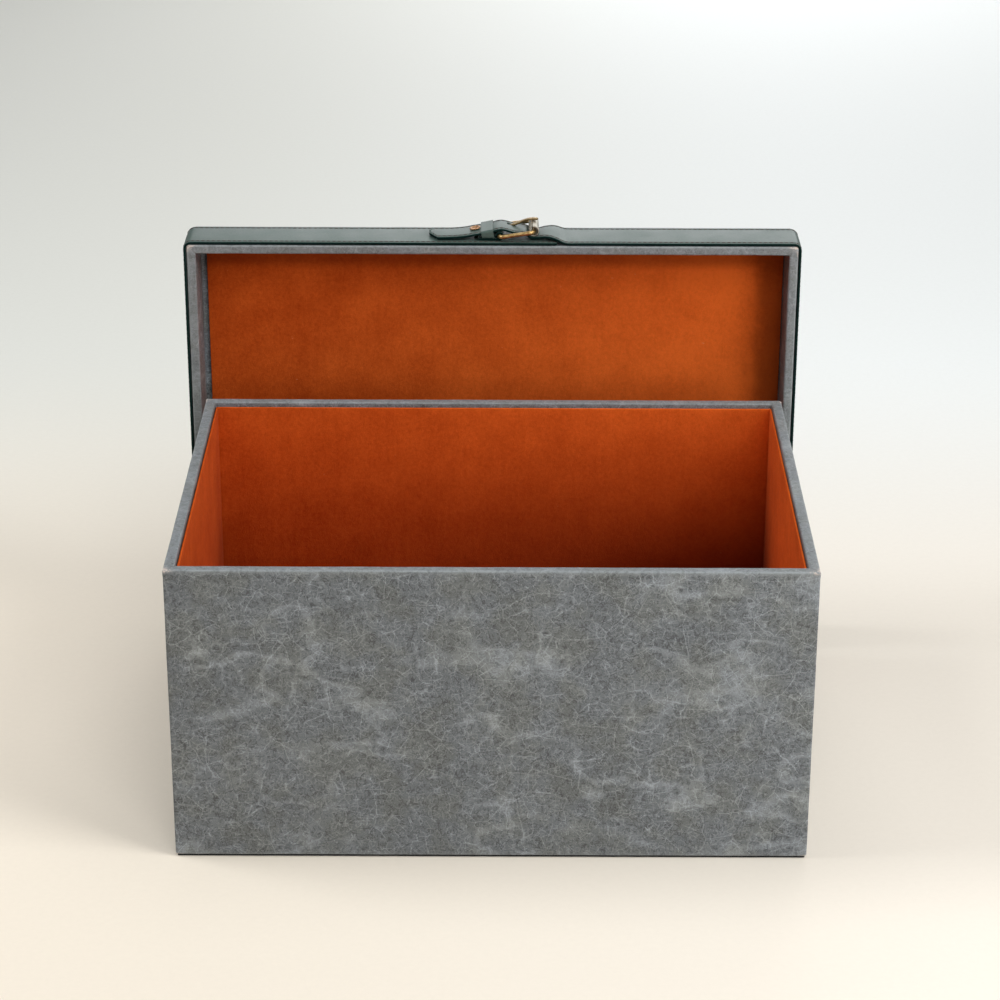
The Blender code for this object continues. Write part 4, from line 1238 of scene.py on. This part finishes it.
def green_leather():
    """Grey-green strap leather with a waxy bloom and fine creases."""
    look = Look("green_leather_look")
    clouds = look.signed(55.0, 3.0, 0.6)
    speckle = look.signed(900.0, 2.0, 0.7)
    pores = look.cells(1300.0)
    bent = look.moved(300.0, 0.002)
    creases = look.mask(look.ridge(200.0, 0.03, 2.0, bent), 90.0, 0.45, 0.62)
    dark_creases = look.mask(look.ridge(260.0, 0.03, 2.0, bent, 0.47), 110.0, 0.45, 0.60)
    tone = look.total(
        0.50, (clouds, 0.10), (speckle, 0.10), (creases, 0.10), (dark_creases, -0.10),
    )
    face = look.ramp(tone, 0.10, BELT_DARK, 0.95, BELT_PALE)
    height = look.total(0.0, (pores, 0.3), (creases, 0.15), (dark_creases, -0.2))
    roughness = look.total(0.42, (clouds, 0.06))
    return look.finish(face, roughness, height, 0.00010, 0.6, Specular_IOR_Level=0.36)


def edge_paint():
    """Dark green paint over the cut edges of the strap leather."""
    look = Look("edge_paint_look")
    clouds = look.signed(320.0, 3.0, 0.6)
    tone = look.total(0.5, (clouds, 0.25))
    colour = look.ramp(tone, 0.0, BELT_EDGE, 1.0, BELT_EDGE_PALE)
    return look.finish(colour, 0.55, clouds, 0.00006, 0.5, Specular_IOR_Level=0.05)


def brown_thread():
    look = Look("brown_thread_look")
    twist = look.noise(2600.0, 2.0)
    colour = look.mix(twist, tint(0.014, 0.005, 0.004), tint(0.080, 0.032, 0.022))
    return look.finish(colour, 0.6, twist, 0.0001, 0.6)


def greyboard():
    look = Look("greyboard_look")
    flecks = look.noise(700.0, 4.0, 0.7)
    colour = look.mix(flecks, tint(0.24, 0.22, 0.18), tint(0.48, 0.45, 0.38))
    return look.finish(colour, 0.92, flecks, 0.0002, 0.5)


def black_cloth():
    """Plain woven book cloth."""
    look = Look("black_cloth_look")
    weave = {"Vector": look.place, "Scale": 500.0, "Distortion": 0.6}
    warp = look.add("TexWave", weave, bands_direction="X").outputs["Fac"]
    weft = look.add("TexWave", weave, bands_direction="Y").outputs["Fac"]
    threads = look.times(warp, weft)
    colour = look.mix(threads, tint(0.008, 0.008, 0.009), tint(0.035, 0.034, 0.034))
    return look.finish(colour, 0.85, threads, 0.0003, 0.7)


def worn_metal(name):
    """Metal with a mottled patina and scratches that run along the piece."""
    dull, bright, roughness, patina_scale, stretch = METALS[name]
    look = Look(name)
    patina = look.noise(patina_scale, 4.0, 0.65)
    scratches = look.noise(1600.0, 2.0, 0.7, look.stretched(stretch))
    share = look.total(0.0, (look.band(patina, 0.36, 0.64), 0.65), (scratches, 0.35))
    colour = look.mix(share, dull, bright)
    roughness = look.total(roughness, (scratches, 0.16), (share, -0.08))
    return look.finish(colour, roughness, scratches, 0.00006, 0.5, Metallic=1.0)


# ---- camera, lights, floor
def build_camera():
    camera = add_object("camera", bpy.data.cameras.new("camera"))
    camera.data.lens = CAMERA_LENS
    camera.data.sensor_width = CAMERA_SENSOR
    camera.data.clip_end = CAMERA_REACH
    turn = Matrix.Rotation(-CAMERA_YAW, 4, "Z")
    turn @= Matrix.Rotation(pi / 2 - CAMERA_PITCH, 4, "X")
    turn @= Matrix.Rotation(CAMERA_ROLL, 4, "Z")
    camera.matrix_world = Matrix.Translation(CAMERA_PLACE) @ turn
    bpy.context.scene.camera = camera


def area_light(name, place, size, power, colour):
    light = bpy.data.lights.new(name, "AREA")
    light.shape = "DISK"
    light.size = size
    light.energy = power
    light.color = colour
    lamp = add_object(name, light)
    lamp.location = place
    away = Vector(place) - LIT_MIDDLE
    lamp.rotation_euler = away.to_track_quat("Z", "Y").to_euler()
    lamp.visible_camera = False


def build_world():
    """A soft white room, brighter near the horizon than overhead."""
    look = Look("studio", bpy.data.worlds, "Background", "Generated")
    inputs = {"Value": look.axis("Z"), "To Min": HORIZON, "To Max": ZENITH}
    look.set(Color=SKY_COLOUR, Strength=look.add("MapRange", inputs).outputs[0])
    bpy.context.scene.world = look.material


def build_floor():
    """A pale table that fades into a paler wall with distance. The wall is painted lighter towards the
    right, a painted highlight where more light falls.
    """
    bm = bmesh.new()
    bmesh.ops.create_grid(bm, x_segments=2, y_segments=2, size=FLOOR_REACH)
    look = Look("floor_look")
    far = look.band(look.axis("Y"), FLOOR_NEAR, FLOOR_FAR)
    right = look.band(look.axis("X"), -FLOOR_SIDE, FLOOR_SIDE)
    near_colour = look.mix(right, TABLE_LEFT, TABLE_RIGHT)
    # painted light: the wall's colour gets paler towards the right
    far_colour = look.mix(right, WALL_LEFT, WALL_RIGHT)
    colour = look.mix(far, near_colour, far_colour)
    speckle = look.signed(260.0, 4.0, 0.7)
    colour = look.mix(look.total(0.04, (speckle, 0.03)), colour, TABLE_SPECKLE)
    look.set(Base_Color=colour, Roughness=0.75, Specular_IOR_Level=0.15)
    add_mesh("floor", bm, look.material)


# ---- assembly
def dress_boards(material):
    """The boards inside the leather keep their CAD shape."""
    for name, node in frame["nodes"].items():
        if name.endswith("_board"):
            node.data.materials.clear()
            node.data.materials.append(material)


def build_buckle(strap):
    build_rivet(worn_metal("copper_rivet_look"))
    build_chape(strap)
    build_keeper(strap[0])
    build_buckle_frame(worn_metal("aged_brass_look"))
    build_roller(worn_metal("bare_roller_look"))
    build_prong(worn_metal("tongue_look"))


def build():
    bpy.context.scene.view_settings.view_transform = "Standard"
    build_camera()
    build_world()
    for light in LIGHTS:
        area_light(*light)
    build_floor()
    green = green_leather()
    build_leather([grey_leather()])
    build_lining(
        orange_suede("orange_suede_look", box_painted_shade, BOX_SUEDE_PAINTED_LIGHT, BOX_SUEDE_SHEEN),
        orange_suede("lid_suede_look", lid_painted_shadow, LID_SUEDE_PAINTED_LIGHT, LID_SUEDE_SHEEN),
    )
    build_base_cloth(black_cloth())
    dress_boards(greyboard())
    strap = [green, edge_paint()]
    build_belt(strap)
    build_stitching(brown_thread())
    build_buckle(strap)


build()
